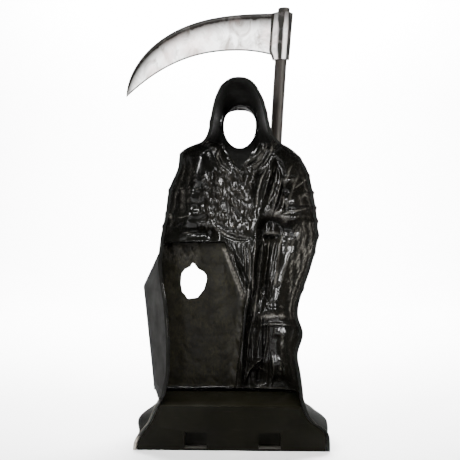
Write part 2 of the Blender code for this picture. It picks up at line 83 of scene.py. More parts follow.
# Where cloth folds run out over the open back's edge: height, side, reach and half spread
rimNicks = [
    (78.4, 1, 0.50, 1.2), (73.6, 1, 0.45, 1.0), (68.9, 1, 0.65, 0.8), (64.8, 1, 0.60, 0.7),
    (61.2, 1, 0.55, 1.0), (57.3, 1, 0.60, 1.9), (52.6, 1, 0.35, 1.2), (42.8, 1, 0.40, 1.0),
    (81.8, -1, 0.45, 1.0), (79.4, -1, 0.35, 0.8), (69.6, -1, 0.40, 0.9), (63.2, -1, 0.35, 0.8),
    (59.8, -1, 0.45, 0.9), (90.6, 1, 0.20, 1.5), (88.0, -1, 0.25, 1.2),
]

pole = {
    "top": 2.440, "radius": 0.0355, "lean": 0.060,
    "topX": 0.28727,        # off the figure's middle, at the pole's top
    "depth": 0.46996,
    "foot": 1.14906,        # where the loose pole goes into the fist
    "clearance": 0.010,     # between the robe and the pole in front of it
    "sides": 36, "rows": 150,
    "grain": 0.0009,        # depth of the grain pressed into the pole
    "paleStreakAngle": 294, "paleStreakSpread": 17,     # a pale streak down the pole's back, dust and a painted highlight, in degrees
}

coffin = {
    "x": -0.2215, "top": 1.084, "topWidth": 0.355,
    "shoulderWidth": 0.593, "shoulderZ": 0.808, "lean": 0.028,
    "footWidth": 0.422, "faceDepth": 0.385,
    "lidFrom": 0.360,       # what lies deeper than this is the lid
    "side": 0.012,          # width of the coffin's side, seen from the back
    "lip": 0.012,           # height over which the lid's top edge turns back to the robe
    "edgeRound": 0.030,     # width of the rounded margin along the lid's right side
    "edgeRise": 0.013,
    # swellings under the lid's top edge, in hundredths of the figure's height
    "lumps": [((-17.6, 54.1), (-12.4, 54.7), 1.3), ((-9.4, 54.4), (-5.6, 54.7), 1.0)],
    "lumpRise": 0.012,
}

faceHole = {"x": 0.033, "z": 1.736, "width": 0.180, "height": 0.219, "chin": 0.07, "square": 2.7}

# The broken hole in the lid: corners as shares of its half width and half height
lidHole = {"x": -0.2325, "z": 0.866, "width": 0.150, "height": 0.206, "corners": [
    (0.01, 1.0), (0.37, 0.65), (0.76, 0.51), (0.98, 0.30), (1.0, 0.04), (0.90, -0.19),
    (0.80, -0.45), (0.60, -0.65), (0.29, -0.93), (-0.11, -0.98), (-0.47, -1.0), (-0.67, -0.76),
    (-0.87, -0.63), (-0.98, -0.16), (-0.92, 0.39), (-0.65, 0.65), (-0.23, 0.80), (-0.11, 0.98),
]}

# The carving, in hundredths: points (x, z), radius and height; a positive height stands to the front
elbow, fist = (20.6, 56.8), (10.6, 58.2)
leftElbow, leftHand = (-17.6, 58.5), (-7.2, 56.6)
forearmRadius = 4.2
carving = {
    "limbs": [
        ([(14.8, 78.0), elbow], 5.4, 1.5), ([(-11.8, 78.0), leftElbow], 5.0, 1.2),
        ([elbow, fist], forearmRadius, 3.8), ([leftElbow, leftHand], 3.6, 2.4),
        ([fist, (10.6, 59.0)], 5.0, 3.8),
    ],
    "sleeveRise": 2.8,      # how far the sleeve swells beside the forearm
    # the moulded pole under the fist
    "poleBelow": [(10.4, 57.5), (7.4, 47.5), (5.6, 34.0), (4.1, 13.0)], "poleRadius": 2.3, "poleRise": 2.4,
    # short folds across both upper arms, repeated downwards
    "creases": [((11.5, 70.5), (20.5, 66.0)), ((-8.5, 71.0), (-16.5, 67.5))],
    "creaseCount": 4, "creaseStep": 4.6, "creaseRadius": 1.7, "creaseRise": 0.5,
    # rings round the face: middle, half width and half height
    "brow": (1.66, 87.6, 6.3, 7.4), "browSpread": 0.42, "browRise": 1.7,
    "holeLip": (1.75, 88.6, 5.1, 5.7), "lipSpread": 0.24, "lipRise": 1.8,
    "collars": [(-1, (-4.5, 84.5), (1.2, 71.5)), (1, (8.2, 84.0), (3.0, 71.5))],
}
# Sets of upright folds: low end and high end as height, left and right, then count, sway, height, place
fans = [
    ((34.0, 6.6, 18.5), (61.0, 9.5, 22.5), 4.0, -0.6, 0.35, "all"),
    ((14.5, 0.8, 17.5), (52.0, 4.6, 15.0), 4.0, 0.0, 0.35, "besideSleeve"),
    ((57.0, -7.5, 7.5), (80.0, -13.0, 14.0), 5.0, 0.0, 0.35, "all"),
    ((36.5, 7.8, 18.2), (62.0, 10.6, 22.4), 7.0, -0.5, 0.28, "sleeve"),
    ((15.5, 1.6, 9.6), (56.0, 2.6, 9.4), 6.0, 0.4, 0.30, "besideSleeve"),
    ((14.5, 8.6, 16.6), (33.0, 9.4, 17.2), 4.0, -0.4, 0.34, "belowSleeve"),
]
# Single folds: points, radius and height
folds = [
    # right side of the chest, long strokes from the shoulder to the forearm
    ([(16.5, 77.1), (14.6, 71.9), (13.1, 66.0), (11.3, 62.7)], 1.25, 1.25),
    ([(12.4, 76.1), (11.7, 72.0), (9.8, 66.1)], 1.15, 0.95),
    ([(9.8, 76.5), (7.9, 73.1), (6.8, 69.0), (6.4, 64.5)], 1.1, 0.85),
    ([(14.5, 75.0), (12.9, 69.5), (11.4, 64.5)], 0.8, -0.7),
    ([(11.0, 76.0), (9.7, 72.0), (8.2, 66.5)], 0.8, -0.6),
    ([(18.3, 75.0), (17.0, 70.5), (15.4, 66.0), (14.6, 63.4)], 1.1, 0.75),
    ([(20.0, 72.5), (17.6, 70.4)], 0.9, 0.7),
    ([(20.4, 69.0), (18.4, 66.8)], 1.2, 0.8),
    ([(21.0, 64.6), (16.6, 63.6), (13.0, 62.6)], 0.9, 0.7),
    # neck and collar
    ([(8.6, 86.0), (8.3, 80.6), (6.1, 78.0), (3.1, 76.1)], 0.75, 1.0),
    ([(10.0, 86.6), (9.4, 82.4), (7.6, 78.7), (4.6, 76.1)], 0.8, 1.0),
    ([(11.2, 84.0), (10.6, 80.6), (8.6, 77.4), (6.0, 75.4)], 0.8, 0.7),
    ([(-3.6, 88.5), (-4.9, 85.7), (-4.6, 84.2), (-4.2, 82.4)], 0.8, 1.0),
    ([(-3.8, 82.2), (-4.8, 79.4), (-3.6, 76.9), (-0.8, 75.0)], 0.9, 0.9),
    ([(-2.2, 78.8), (0.4, 76.6), (2.2, 75.2)], 0.8, 0.5),
    # left side of the chest and the left arm
    ([(-11.8, 77.2), (-11.1, 74.2), (-10.7, 71.2), (-10.3, 69.0)], 0.8, 0.9),
    ([(-11.0, 66.8), (-10.3, 65.3), (-9.6, 63.0)], 0.8, 0.9),
    ([(-14.6, 71.4), (-14.2, 68.9), (-14.4, 66.0), (-15.3, 62.9)], 0.8, 1.1),
    ([(-12.9, 71.0), (-12.3, 68.4), (-13.2, 65.4)], 0.8, 0.9),
    ([(-16.2, 70.4), (-16.6, 66.4)], 0.7, 0.6),
    ([(-15.8, 61.9), (-12.0, 62.6)], 0.8, 0.8),
    ([(-14.6, 57.7), (-10.8, 57.1)], 0.8, 0.8),
    ([(-17.6, 64.2), (-16.8, 61.0), (-17.8, 58.6)], 0.9, 0.7),
    # waist
    ([(-4.4, 58.7), (-2.2, 57.0), (0.6, 55.9), (5.0, 55.5)], 0.9, 1.0),
    ([(-6.0, 60.2), (-2.6, 58.8), (1.0, 57.6)], 0.8, 0.6),
    ([(-1.0, 65.5), (1.8, 62.4), (4.4, 60.4)], 0.9, 0.5),
    # sleeve
    ([(19.0, 61.6), (16.0, 56.6), (15.5, 50.5), (13.9, 45.4), (11.3, 36.5)], 0.95, 1.1),
    ([(19.6, 61.6), (17.0, 56.0), (16.7, 50.7), (16.2, 43.2), (15.4, 38.8)], 0.85, 1.0),
    ([(19.8, 61.4), (18.4, 56.5), (18.5, 51.5), (17.7, 44.5)], 0.85, 0.95),
    ([(19.9, 61.2), (19.6, 57.0), (20.0, 53.0), (19.0, 48.0)], 0.8, 0.9),
    ([(20.2, 61.2), (21.3, 58.0), (21.6, 54.0), (20.4, 50.0)], 0.8, 0.8),
    ([(14.2, 59.0), (13.2, 52.5), (12.2, 45.0), (10.4, 37.0)], 1.0, 0.7),
    ([(12.6, 56.5), (11.4, 50.0), (10.2, 42.5), (9.2, 36.5)], 0.9, 0.55),
    # skirt between the coffin and the sleeve
    ([(8.0, 57.0), (8.2, 53.6), (7.2, 44.5), (6.8, 40.5), (5.9, 33.7), (4.4, 27.5), (3.4, 16.5)],
     0.95, 2.1),
    ([(6.2, 55.6), (5.9, 50.5), (5.6, 44.0), (5.0, 37.0)], 0.75, -0.9),
    ([(4.4, 54.8), (4.6, 49.0), (4.4, 43.0), (3.6, 36.0)], 0.7, 0.7),
    ([(2.8, 54.6), (3.4, 49.5), (3.4, 44.5)], 0.65, -0.6),
    ([(10.2, 55.5), (9.8, 51.0), (8.9, 45.0), (8.0, 39.0)], 0.75, -0.9),
    ([(2.4, 33.5), (1.8, 27.0), (1.2, 21.0)], 0.8, 0.9),
    ([(7.6, 32.6), (7.0, 27.5), (5.6, 21.5)], 0.8, -0.9),
    ([(9.6, 32.6), (9.6, 27.0), (8.6, 21.0)], 0.8, 0.9),
    ([(11.8, 33.0), (11.6, 26.0), (11.4, 19.0), (11.0, 14.0)], 0.85, -0.8),
    ([(13.8, 33.6), (13.8, 26.0), (13.2, 18.0), (12.9, 13.4)], 0.85, 0.9),
    ([(15.8, 34.0), (15.6, 27.0), (15.4, 20.0), (15.2, 13.4)], 0.9, -0.7),
    # foot of the robe
    ([(8.6, 22.0), (6.4, 20.6), (4.6, 18.0), (3.3, 14.6)], 0.9, -1.3),
    ([(7.3, 18.6), (7.2, 13.6)], 2.3, 2.6),
    ([(1.2, 22.9), (0.5, 19.0), (-0.6, 15.6)], 0.7, -0.8),
    ([(-1.8, 12.9), (1.4, 12.9)], 1.1, -1.2),
    # groove beside the coffin, and the sleeve's hem
    ([(-0.9, 54.2), (5.2, 39.6), (3.8, 27.0), (2.8, 14.6)], 1.3, 1.6),
    ([(7.4, 31.2), (13.2, 32.2), (16.9, 34.6), (18.2, 38.6)], 0.75, -1.2),
]


def smoothStep(value):
    value = np.clip(value, 0.0, 1.0)
    return value * value * (3 - 2 * value)


def between(value, low, rise, high, fall):
    # 1 from low to high, fading in over the rise and out over the fall
    return smoothStep((value - low) / rise) * smoothStep((high - value) / fall)


def bell(away, reach, fall=1.0):
    # 1 in the middle, 0 from the reach on
    return np.cos(np.minimum(away / reach, 1.0) * math.pi / 2) ** (2 * fall)


def along(stations, height, column=1):
    # reads one column of a list of stations as a smooth curve, level at its ends
    table = np.array(stations)
    heights, values = table[:, 0], table[:, column]
    slopes = np.zeros(len(values))
    slopes[1:-1] = (values[2:] - values[:-2]) / (heights[2:] - heights[:-2])
    height = np.asarray(height, float)
    at = np.clip(np.searchsorted(heights, height, side="right") - 1, 0, len(heights) - 2)
    span = heights[at + 1] - heights[at]
    t = np.clip((height - heights[at]) / span, 0.0, 1.0)
    low = values[at] * (1 + 2 * t) * (1 - t) ** 2 + span * slopes[at] * t * (1 - t) ** 2
    return low + values[at + 1] * (3 - 2 * t) * t ** 2 - span * slopes[at + 1] * (1 - t) * t ** 2


def besideLine(x, z, start, end):
    # the share of the way along a line, and the distance from it
    runX, runZ = end[0] - start[0], end[1] - start[1]
    share = np.clip(((x - start[0]) * runX + (z - start[1]) * runZ) / (runX ** 2 + runZ ** 2), 0, 1)
    return share, np.hypot(x - start[0] - share * runX, z - start[1] - share * runZ)


def ridge(x, z, start, end, radius, fall=1.0):
    # a rounded ridge along a line, 1 on the line and 0 past the radius
    return bell(besideLine(x, z, start, end)[1], radius, fall)


def chain(x, z, points, radius, fall=1.0):
    return np.max([ridge(x, z, a, b, radius, fall) for a, b in zip(points, points[1:])], axis=0)


def fold(x, z, points, radius):
    # a chain that thins out at both ends
    best = np.zeros(np.broadcast(x, z).shape)
    count = len(points) - 1
    for index, (start, end) in enumerate(zip(points, points[1:])):
        share, away = besideLine(x, z, start, end)
        whole = (index + share) / count
        width = radius * (0.35 + 0.65 * smoothStep(4 * whole) * smoothStep(4 * (1 - whole)))
        lift = bell(away, width) * (0.25 + 0.75 * smoothStep(5 * whole) * smoothStep(5 * (1 - whole)))
        best = np.maximum(best, lift)
    return best


def fan(x, z, low, high, count, sway):
    # upright folds between two slanted sides; low and high give a height, a left and a right
    rise = np.clip((z - low[0]) / (high[0] - low[0]), 0, 1)
    bend = sway * np.sin(math.pi * rise)
    left = low[1] + (high[1] - low[1]) * rise + bend
    right = low[2] + (high[2] - low[2]) * rise + bend
    across = np.clip((x - left) / (right - left), 0, 1)
    fade = smoothStep(8 * across) * smoothStep(8 * (1 - across))
    fade = fade * smoothStep(5 * rise) * smoothStep(4 * (1 - rise))
    return fade * np.cos(2 * math.pi * count * across)


def ringShare(x, z, ring):
    return np.hypot((x - ring[0]) / ring[2], (z - ring[1]) / ring[3])


def sleeveHem(x):
    return 33.2 + 0.22 * (x - 7.2) + 0.35 * np.maximum(x - 13.0, 0.0) ** 1.5


def drapery(x, z):
    # the carved forms, which are also in the solid, with the finer folds over them
    sleeve = smoothStep((x - 6.0) / 2.4) * between(z, sleeveHem(x), 1.8, 60.0, 4.0)
    depth = sum(rise * chain(x, z, points, radius) for points, radius, rise in carving["limbs"])
    depth = depth + carving["sleeveRise"] * sleeve * (1 - ridge(x, z, elbow, fist, forearmRadius))
    below = chain(x, z, carving["poleBelow"], carving["poleRadius"], 0.7)
    depth += carving["poleRise"] * below * (1 - 0.5 * sleeve)
    places = {"all": 1.0, "sleeve": sleeve, "besideSleeve": 1 - 0.8 * sleeve, "belowSleeve": 1 - sleeve}
    for low, high, count, sway, rise, place in fans:
        depth += rise * fan(x, z, low, high, count, sway) * places[place]
    for row in range(carving["creaseCount"]):
        drop = row * carving["creaseStep"]
        for start, end in carving["creases"]:
            start, end = (start[0], start[1] - drop), (end[0], end[1] - drop)
            crease = ridge(x, z, start, end, carving["creaseRadius"])
            depth += carving["creaseRise"] * crease
    brow = ringShare(x, z, carving["brow"])
    depth += carving["browRise"] * bell(abs(brow - 1.0), carving["browSpread"])
    lip = ringShare(x, z, carving["holeLip"])
    depth += carving["lipRise"] * smoothStep((1.0 - lip) / carving["lipSpread"])
    for side, top, foot in carving["collars"]:
        depth += 0.8 * ridge(x, z, top, foot, 1.9)
        lowerTop, lowerFoot = (top[0] + 2.2 * side, top[1] - 3.5), (foot[0] + 2.8 * side, foot[1] - 3.0)
        depth += 0.4 * ridge(x, z, lowerTop, lowerFoot, 1.8)
    for points, radius, height in folds:
        depth += height * fold(x, z, points, radius)
    return depth


def noiseField(x, z, scale, depth, octaves):
    # smooth noise, about -1 to 1, over two arrays
    flatX, flatZ = np.broadcast_arrays(x, z)
    values = [noise.fractal(Vector((a * scale, depth, b * scale)), 1.0, 2.1, octaves)
              for a, b in zip(flatX.ravel(), flatZ.ravel())]
    return np.array(values).reshape(flatX.shape)


def rimEdges(z):
    # left and right edge of the open back, with the folds that run out over it
    edges = []
    for side, column in ((-1, 1), (1, 2)):
        edge = along(rimEdge, np.maximum(z, statue["baseHeight"]) / unit, column) * unit
        for height, at, reach, spread in rimNicks:
            if at == side:
                edge = edge + side * 0.6 * reach * unit * bell(abs(z / unit - height), spread)
        floorEdge = statue["baseX"] + side * statue["baseWidth"] / 2
        edges.append(edge + (floorEdge - edge) * along(baseFlare, z / statue["baseHeight"], column))
    return edges


def coffinEdges(z):
    edges = []
    for side in (-1, 1):
        shoulder = coffin["shoulderZ"] - side * coffin["lean"]
        above = (coffin["top"] - z) / (coffin["top"] - shoulder)
        below = (shoulder - z) / shoulder
        upper = coffin["topWidth"] + (coffin["shoulderWidth"] - coffin["topWidth"]) * above
        lower = coffin["shoulderWidth"] + (coffin["footWidth"] - coffin["shoulderWidth"]) * below
        edges.append(coffin["x"] + side * np.where(z > shoulder, upper, lower) / 2)
    return edges


def poleX(z):
    return pole["topX"] - (pole["top"] - z) * pole["lean"]


def stonesBeside(z):
    away = abs(z - statue["stoneMiddle"] * statue["baseHeight"])
    return statue["stoneBulge"] * bell(away, statue["stoneSpread"] * statue["baseHeight"], 0.75)


def stoneReach(share):
    # the stones stand out most a third of the way to the front
    return bell(abs(share - 0.36), 0.36, 0.65)


def ground(x, z):
    start = 0.78 * statue["stepHeight"]
    climb = np.clip((z - start) / (statue["groundTop"] - start), 0, 1) ** 4
    hem = along(frontDepth, statue["groundTop"] / unit) * unit
    stones = 0.5 + 0.5 * np.sin(x * 29 + 1.3) * np.cos(z * 31 + x * 9)
    front = statue["baseDepth"] - statue["wall"] - 0.002
    return front - (front - hem) * climb - statue["groundBulge"] * stones * (1 - climb)


def robeDepth(x, z, left, right):
    middle, half = (left + right) / 2, (right - left) / 2
    base = ground(x, z) * (1 - 0.10 * ((x - middle) / half) ** 2)
    share = z / unit
    crown = 1 - 0.13 * abs((x - middle) / half) ** 2.4
    robe = along(frontDepth, share) * crown + drapery(x / unit, share)
    robe = np.maximum(robe, along(rimDepth, share)) * unit
    # the robe stays behind the pole, so that the pole stands in the hand in front of it
    limit = pole["depth"] - pole["radius"] - pole["clearance"]
    beside = smoothStep((0.085 - abs(x - poleX(z))) / 0.035)
    beside = beside * smoothStep((z - pole["foot"] + 0.045) / 0.035)
    robe = robe - beside * np.maximum(robe - limit, 0.0)
    return np.where(z < statue["groundTop"], base, robe)


skin = {
    # rows: from, to, count
    "rows": [(0.0, 0.234, 36), (0.237, 0.255, 7), (0.2575, 0.300, 9), (0.305, 1.080, 122),
             (1.084, 1.096, 5), (1.101, 1.620, 82), (1.626, 1.870, 42)],
    "crownRows": 26,
    "flangeColumns": 2, "leftColumns": 24, "coffinColumns": 84, "sideColumns": 8,
    "robeColumns": 120, "rightColumns": 30,
    "crowding": 1.8,        # how much the side walls' columns crowd to the front
    "turn": 0.36,           # share of the half width over which the side walls turn to the front
    "baseSquare": 0.45,     # how square the base's corners are, 1 being round
    "stonesLeft": 0.85, "stonesRight": 0.38,    # shares of the stones' bulge
}


def rowHeights():
    heights = []
    for low, high, count in skin["rows"]:
        heights += [low + (high - low) * row / count for row in range(count + 1)]
    last = heights[-1]
    rise, count = statue["height"] - last, skin["crownRows"]
    heights += [statue["height"] - rise * (1 - row / count) ** 1.7 for row in range(1, count + 1)]
    return np.array(heights)


def shares(count, first=1):
    return np.arange(first, count + 1)[None, :] / count


def plainSection(z, inCoffin):
    # one set of level sections, with or without the coffin, as columns of x and depth
    left, right = rimEdges(z)
    back = np.where(z > statue["stepHeight"], along(rimDepth, z / unit) * unit, 0.0)
    flange = np.minimum(statue["flange"], (right - left) / 5)
    leftWall, rightWall = left + flange, right - flange
    turn = skin["turn"] * (rightWall - leftWall) / 2
    square = smoothStep((z - statue["stepHeight"]) / (0.7 * statue["baseHeight"]))
    square = skin["baseSquare"] + (1 - skin["baseSquare"]) * square
    coffinLeft, coffinRight = coffinEdges(np.clip(z, statue["groundTop"], coffin["top"]))
    rightFace, plainLeft = rightWall - turn, leftWall + turn
    blend = smoothStep((z / statue["groundTop"] - 0.5) / 0.5)
    baseLeft = plainLeft + (coffinLeft - plainLeft) * blend
    leftFace = coffinLeft if inCoffin else np.where(z < statue["groundTop"], baseLeft, plainLeft)
    rise = smoothStep((z - coffin["top"]) / (0.35 * (statue["height"] - coffin["top"])))
    middle = plainLeft + 0.47 * (rightFace - plainLeft)
    coffinRight = np.where(z > coffin["top"], coffinRight + (middle - coffinRight) * rise, coffinRight)
    sideWidth = np.full_like(z, coffin["side"]) if inCoffin else (rightFace - leftFace) / 36
    spread = 0.6 * flange * smoothStep((statue["baseHeight"] - z) / (0.2 * statue["baseHeight"]))
    leftSwell = np.where(z < statue["baseHeight"], skin["stonesLeft"] * stonesBeside(z) + spread, 0.0)
    rightSwell = np.where(z < statue["baseHeight"], skin["stonesRight"] * stonesBeside(z) + spread, 0.0)

    def depthAt(x):
        return robeDepth(x, z, leftWall, rightWall)

    def lidDepth(x):
        margin = np.clip(1 - (coffinRight - sideWidth - x) / coffin["edgeRound"], 0, 1)
        lumps = sum(ridge(x / unit, z / unit, *lump) for lump in coffin["lumps"])
        return coffin["faceDepth"] - coffin["edgeRise"] * margin ** 1.15 - coffin["lumpRise"] * lumps

    def sideWall(wall, face, swell, share):
        # from the flange round to the front, squarer and swollen by stones at the base
        angle = share ** skin["crowding"] * math.pi / 2
        frontward = np.sin(angle) ** square
        x = wall + (face - wall) * (1 - np.cos(angle) ** square) + swell * stoneReach(frontward)
        return x, back + (depthAt(face) - back) * frontward

    level = np.broadcast_to(back, left.shape)
    share = shares(skin["flangeColumns"], 0)[:, :-1]
    sections = [(left + flange * share, level + 0 * share)]
    share = shares(skin["leftColumns"], 0)
    if inCoffin:
        straight = back + (lidDepth(leftFace) - back) * share
        sections.append((leftWall + (leftFace - leftWall) * share, straight))
    else:
        sections.append(sideWall(leftWall, leftFace, -leftSwell, share))
    x = leftFace + (coffinRight - sideWidth - leftFace) * shares(skin["coffinColumns"])
    face = lidDepth(x) if inCoffin else depthAt(x)
    sections.append((x, face))
    share = shares(skin["sideColumns"])
    x = coffinRight - sideWidth * (1 - share)
    sections.append((x, depthAt(x) * share + face[:, -1:] * (1 - share)))
    x = coffinRight + (rightFace - coffinRight) * shares(skin["robeColumns"])
    sections.append((x, depthAt(x)))
    sections.append(sideWall(rightWall, rightFace, rightSwell, 1 - shares(skin["rightColumns"])))
    share = shares(skin["flangeColumns"])
    sections.append((rightWall + flange * share, level + 0 * share))
    return [np.hstack(columns) for columns in zip(*sections)]


def shellGrid():
    # the inside of the shell: rows by columns of points
    z = rowHeights()[:, None]
    plainX, plainDepth = plainSection(z, False)
    coffinX, coffinDepth = plainSection(z, True)
    share = np.clip((coffin["top"] + coffin["lip"] - z) / coffin["lip"], 0, 1)
    share = share * (z >= statue["groundTop"])
    x = coffinX * share + plainX * (1 - share)
    depth = coffinDepth * share + plainDepth * (1 - share)
    return x, depth, np.broadcast_to(z, x.shape).copy()


def gridNormals(points):
    # unit normals of a grid of points, pointing to the modelled front
    normals = np.cross(np.gradient(points, axis=0), np.gradient(points, axis=1))
    normals /= np.maximum(np.linalg.norm(normals, axis=2, keepdims=True), 1e-9)
    return normals * np.sign(normals[..., 1].mean())


def blurred(field, times):
    for _ in range(times):
        padded = np.pad(field, ((1, 1), (1, 1), (0, 0)), mode="edge")
        beside = padded[:-2, 1:-1] + padded[2:, 1:-1] + padded[1:-1, :-2] + padded[1:-1, 2:]
        field = (4 * field + beside) / 8
    return field


def faceHoleOutline():
    outline, count = [], 96
    for index in range(count):
        angle = 2 * math.pi * index / count
        power = 2 / (faceHole["square"] if math.sin(angle) > 0 else 2.0)
        across = math.copysign(abs(math.cos(angle)) ** power, math.cos(angle))
        up = math.copysign(abs(math.sin(angle)) ** power, math.sin(angle))
        chin = 1 + faceHole["chin"] * up
        outline.append((faceHole["x"] + faceHole["width"] / 2 * across * chin,
                        faceHole["z"] + faceHole["height"] / 2 * up))
    return np.array(outline)


def lidHoleOutline():
    corners = np.array(lidHole["corners"]) * (lidHole["width"] / 2, lidHole["height"] / 2)
    return corners + (lidHole["x"], lidHole["z"])


def insideOutline(x, z, outline):
    inside = np.zeros(x.shape, bool)
    for a, b in zip(outline, np.roll(outline, -1, axis=0)):
        crosses = (a[1] > z) != (b[1] > z)
        with np.errstate(divide="ignore", invalid="ignore"):
            reach = (b[0] - a[0]) * (z - a[1]) / (b[1] - a[1]) + a[0]
        inside ^= crosses & (x < reach)
    return inside


def nearestOn(outline, x, z):
    best = np.full(x.shape, np.inf)
    placeX, placeZ = np.zeros(x.shape), np.zeros(x.shape)
    for a, b in zip(outline, np.roll(outline, -1, axis=0)):
        share, away = besideLine(x, z, a, b)
        nearer = away < best
        best = np.where(nearer, away, best)
        placeX = np.where(nearer, a[0] + share * (b[0] - a[0]), placeX)
        placeZ = np.where(nearer, a[1] + share * (b[1] - a[1]), placeZ)
    return placeX, placeZ


def cutHole(x, z, depth, keep, outline):
    # drops the cells inside an outline and moves the cells' corners beside it onto the outline
    rows, columns = keep.shape
    middleX = (x[:-1, :-1] + x[1:, :-1] + x[:-1, 1:] + x[1:, 1:]) / 4
    middleZ = (z[:-1, :-1] + z[1:, :-1] + z[:-1, 1:] + z[1:, 1:]) / 4
    gone = insideOutline(middleX, middleZ, outline) & (depth[:-1, :-1] > 0.25)
    keep &= ~gone
    touched = np.zeros(x.shape, bool)
    stays = np.zeros(x.shape, bool)
    for shiftRow in (0, 1):
        for shiftColumn in (0, 1):
            touched[shiftRow:shiftRow + rows, shiftColumn:shiftColumn + columns] |= gone
            stays[shiftRow:shiftRow + rows, shiftColumn:shiftColumn + columns] |= ~gone
    edge = touched & stays
    x[edge], z[edge] = nearestOn(outline, x[edge], z[edge])
    return edge


def meshObject(name, points, faces, material, tints=None):
    mesh = bpy.data.meshes.new(name)
    mesh.from_pydata([tuple(point) for point in points], [], [tuple(face) for face in faces])
    mesh.materials.append(material)
    mesh.shade_smooth()
    if tints is not None:
        layer = mesh.color_attributes.new("tints", 'FLOAT_COLOR', 'POINT')
        layer.data.foreach_set("color", np.asarray(tints, float).ravel())
    thing = bpy.data.objects.new(name, mesh)
    bpy.context.scene.collection.objects.link(thing)
    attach(thing, "root")
    return thing


def gridFaces(keep, columns, flip):
    rows, wide = np.nonzero(keep)
    a = rows * columns + wide
    quads = np.stack([a, a + 1, a + columns + 1, a + columns], axis=1)
    return quads[:, ::-1] if flip else quads


def rimStrip(keep, columns):
    # pairs of points along every open edge of a grid of cells
    padded = np.pad(keep, 1)
    edges = []
    for row, column in zip(*np.nonzero(keep)):
        a = row * columns + column
        corners = (a, a + 1, a + columns + 1, a + columns)
        beside = (padded[row, column + 1], padded[row + 1, column + 2],
                  padded[row + 2, column + 1], padded[row + 1, column])
        for index in range(4):
            if not beside[index]:
                edges.append((corners[index], corners[(index + 1) % 4]))
    return edges


cloth = {
    "coarse": 0.0090, "sharp": 0.0068, "fine": 0.0010,      # depths of the chest's crinkles
    "lidCoarse": 0.0009, "lidFine": 0.0004,
    "cornerSharp": 0.0050, "cornerFine": 0.0030,            # the lid's crumpled upper left corner
    "ripple": 0.0022, "wave": 0.0022,
    "onBase": 0.4,          # share of it all on the base
    "deepest": 0.62,        # share of the wall that a crinkle may take up
    "thinnest": 0.3,        # share of the wall that always stays
    "softening": 3,         # how often the front skin's form is smoothed
}
# Folds that carry on round the side walls: columns, height band, waves, depth
wallFolds = [
    ("rightColumns", (33.0, 63.0), 4.0, 0.0075), ("rightColumns", (63.0, 78.0), 2.6, 0.0060),
    ("rightColumns", (14.0, 33.0), 3.0, 0.0050), ("leftColumns", (57.0, 79.0), 3.4, 0.0080),
]


def shellZones(x, depth, z):
    # where the lid, the rough cloth, the sleeve and the crumpled corner are, 0 to 1
    high, side = z / unit, x / unit
    lid = (depth > coffin["lidFrom"]) & (x < coffinEdges(z)[1] - coffin["side"])
    lid = lid & (z < coffin["top"]) & (z > statue["groundTop"])
    chest = between(high, 56.0, 3.0, 77.0, 4.0) * between(side, -11.0, 3.0, 9.0, 5.0)
    skirt = 0.35 * smoothStep((56.0 - high) / 4.0)
    sleeve = smoothStep((side - 5.5) / 3.0) * between(high, 30.0, 4.0, 64.0, 4.0)
    shoulder = smoothStep((side - 7.0) / 4.0) * between(high, 60.0, 3.0, 79.0, 4.0)
    corner = between(high, 47.5, 3.0, 54.2, 0.8) * smoothStep((-9.0 - side) / 2.5)
    return {"lid": lid, "rough": np.maximum(chest, skirt), "sleeve": 0.75 * np.maximum(sleeve, shoulder),
            "corner": corner * lid}


def sharpCreases(x, z):
    return 1 - abs(noiseField(1.4 * x + 0.5 * z, 0.8 * z, 18.0, 7.7, 2)) * 2


def wallFoldHeights(x, z):
    drift = noiseField(x, z, 3.0, 5.5, 2)
    total = np.zeros(x.shape)
    for name, (lowEnd, highEnd), waves, height in wallFolds:
        wide, first = skin[name], skin["flangeColumns"]
        if name == "rightColumns":
            first = x.shape[1] - first - wide
        share = np.zeros(x.shape)
        share[:, first:first + wide] = (np.arange(wide)[None, :] + 0.5) / wide
        band = between(z / unit, lowEnd, 4, highEnd, 4) * smoothStep(4 * share * (1 - share))
        total += height * band * np.cos(2 * math.pi * waves * (share + 0.25 * drift))
    return total


def crinkleHeights(x, depth, z, zones, sharp):
    # how far the inside stands to the front of the plain form
    coarse = noiseField(1.4 * x + 0.5 * z, z, 15.0, 0.3, 3)
    fine = noiseField(x, z, 62.0, 4.1, 3)
    patchy = 0.30 + 0.70 * smoothStep((noiseField(x, z, 13.0, 9.4, 2) + 0.25) / 0.5)
    chest = cloth["coarse"] * coarse + cloth["sharp"] * sharp + cloth["fine"] * fine
    heights = zones["rough"] * patchy * chest
    heights += zones["lid"] * (cloth["lidCoarse"] * coarse + cloth["lidFine"] * fine)
    heights += zones["corner"] * (cloth["cornerSharp"] * sharp + cloth["cornerFine"] * fine)
    onRobe = (depth > 0.10) & ~zones["lid"] & (z > statue["groundTop"]) & (z < 1.55)
    heights += onRobe * cloth["ripple"] * noiseField(x, 0.22 * z, 44.0, 3.3, 3)
    heights += (depth > 0.10) * cloth["wave"] * noiseField(x, z, 7.0, 2.2, 2)
    heights += wallFoldHeights(x, z)
    heights = np.where(z < statue["groundTop"], cloth["onBase"] * heights, heights)
    return np.minimum(heights, cloth["deepest"] * statue["wall"])


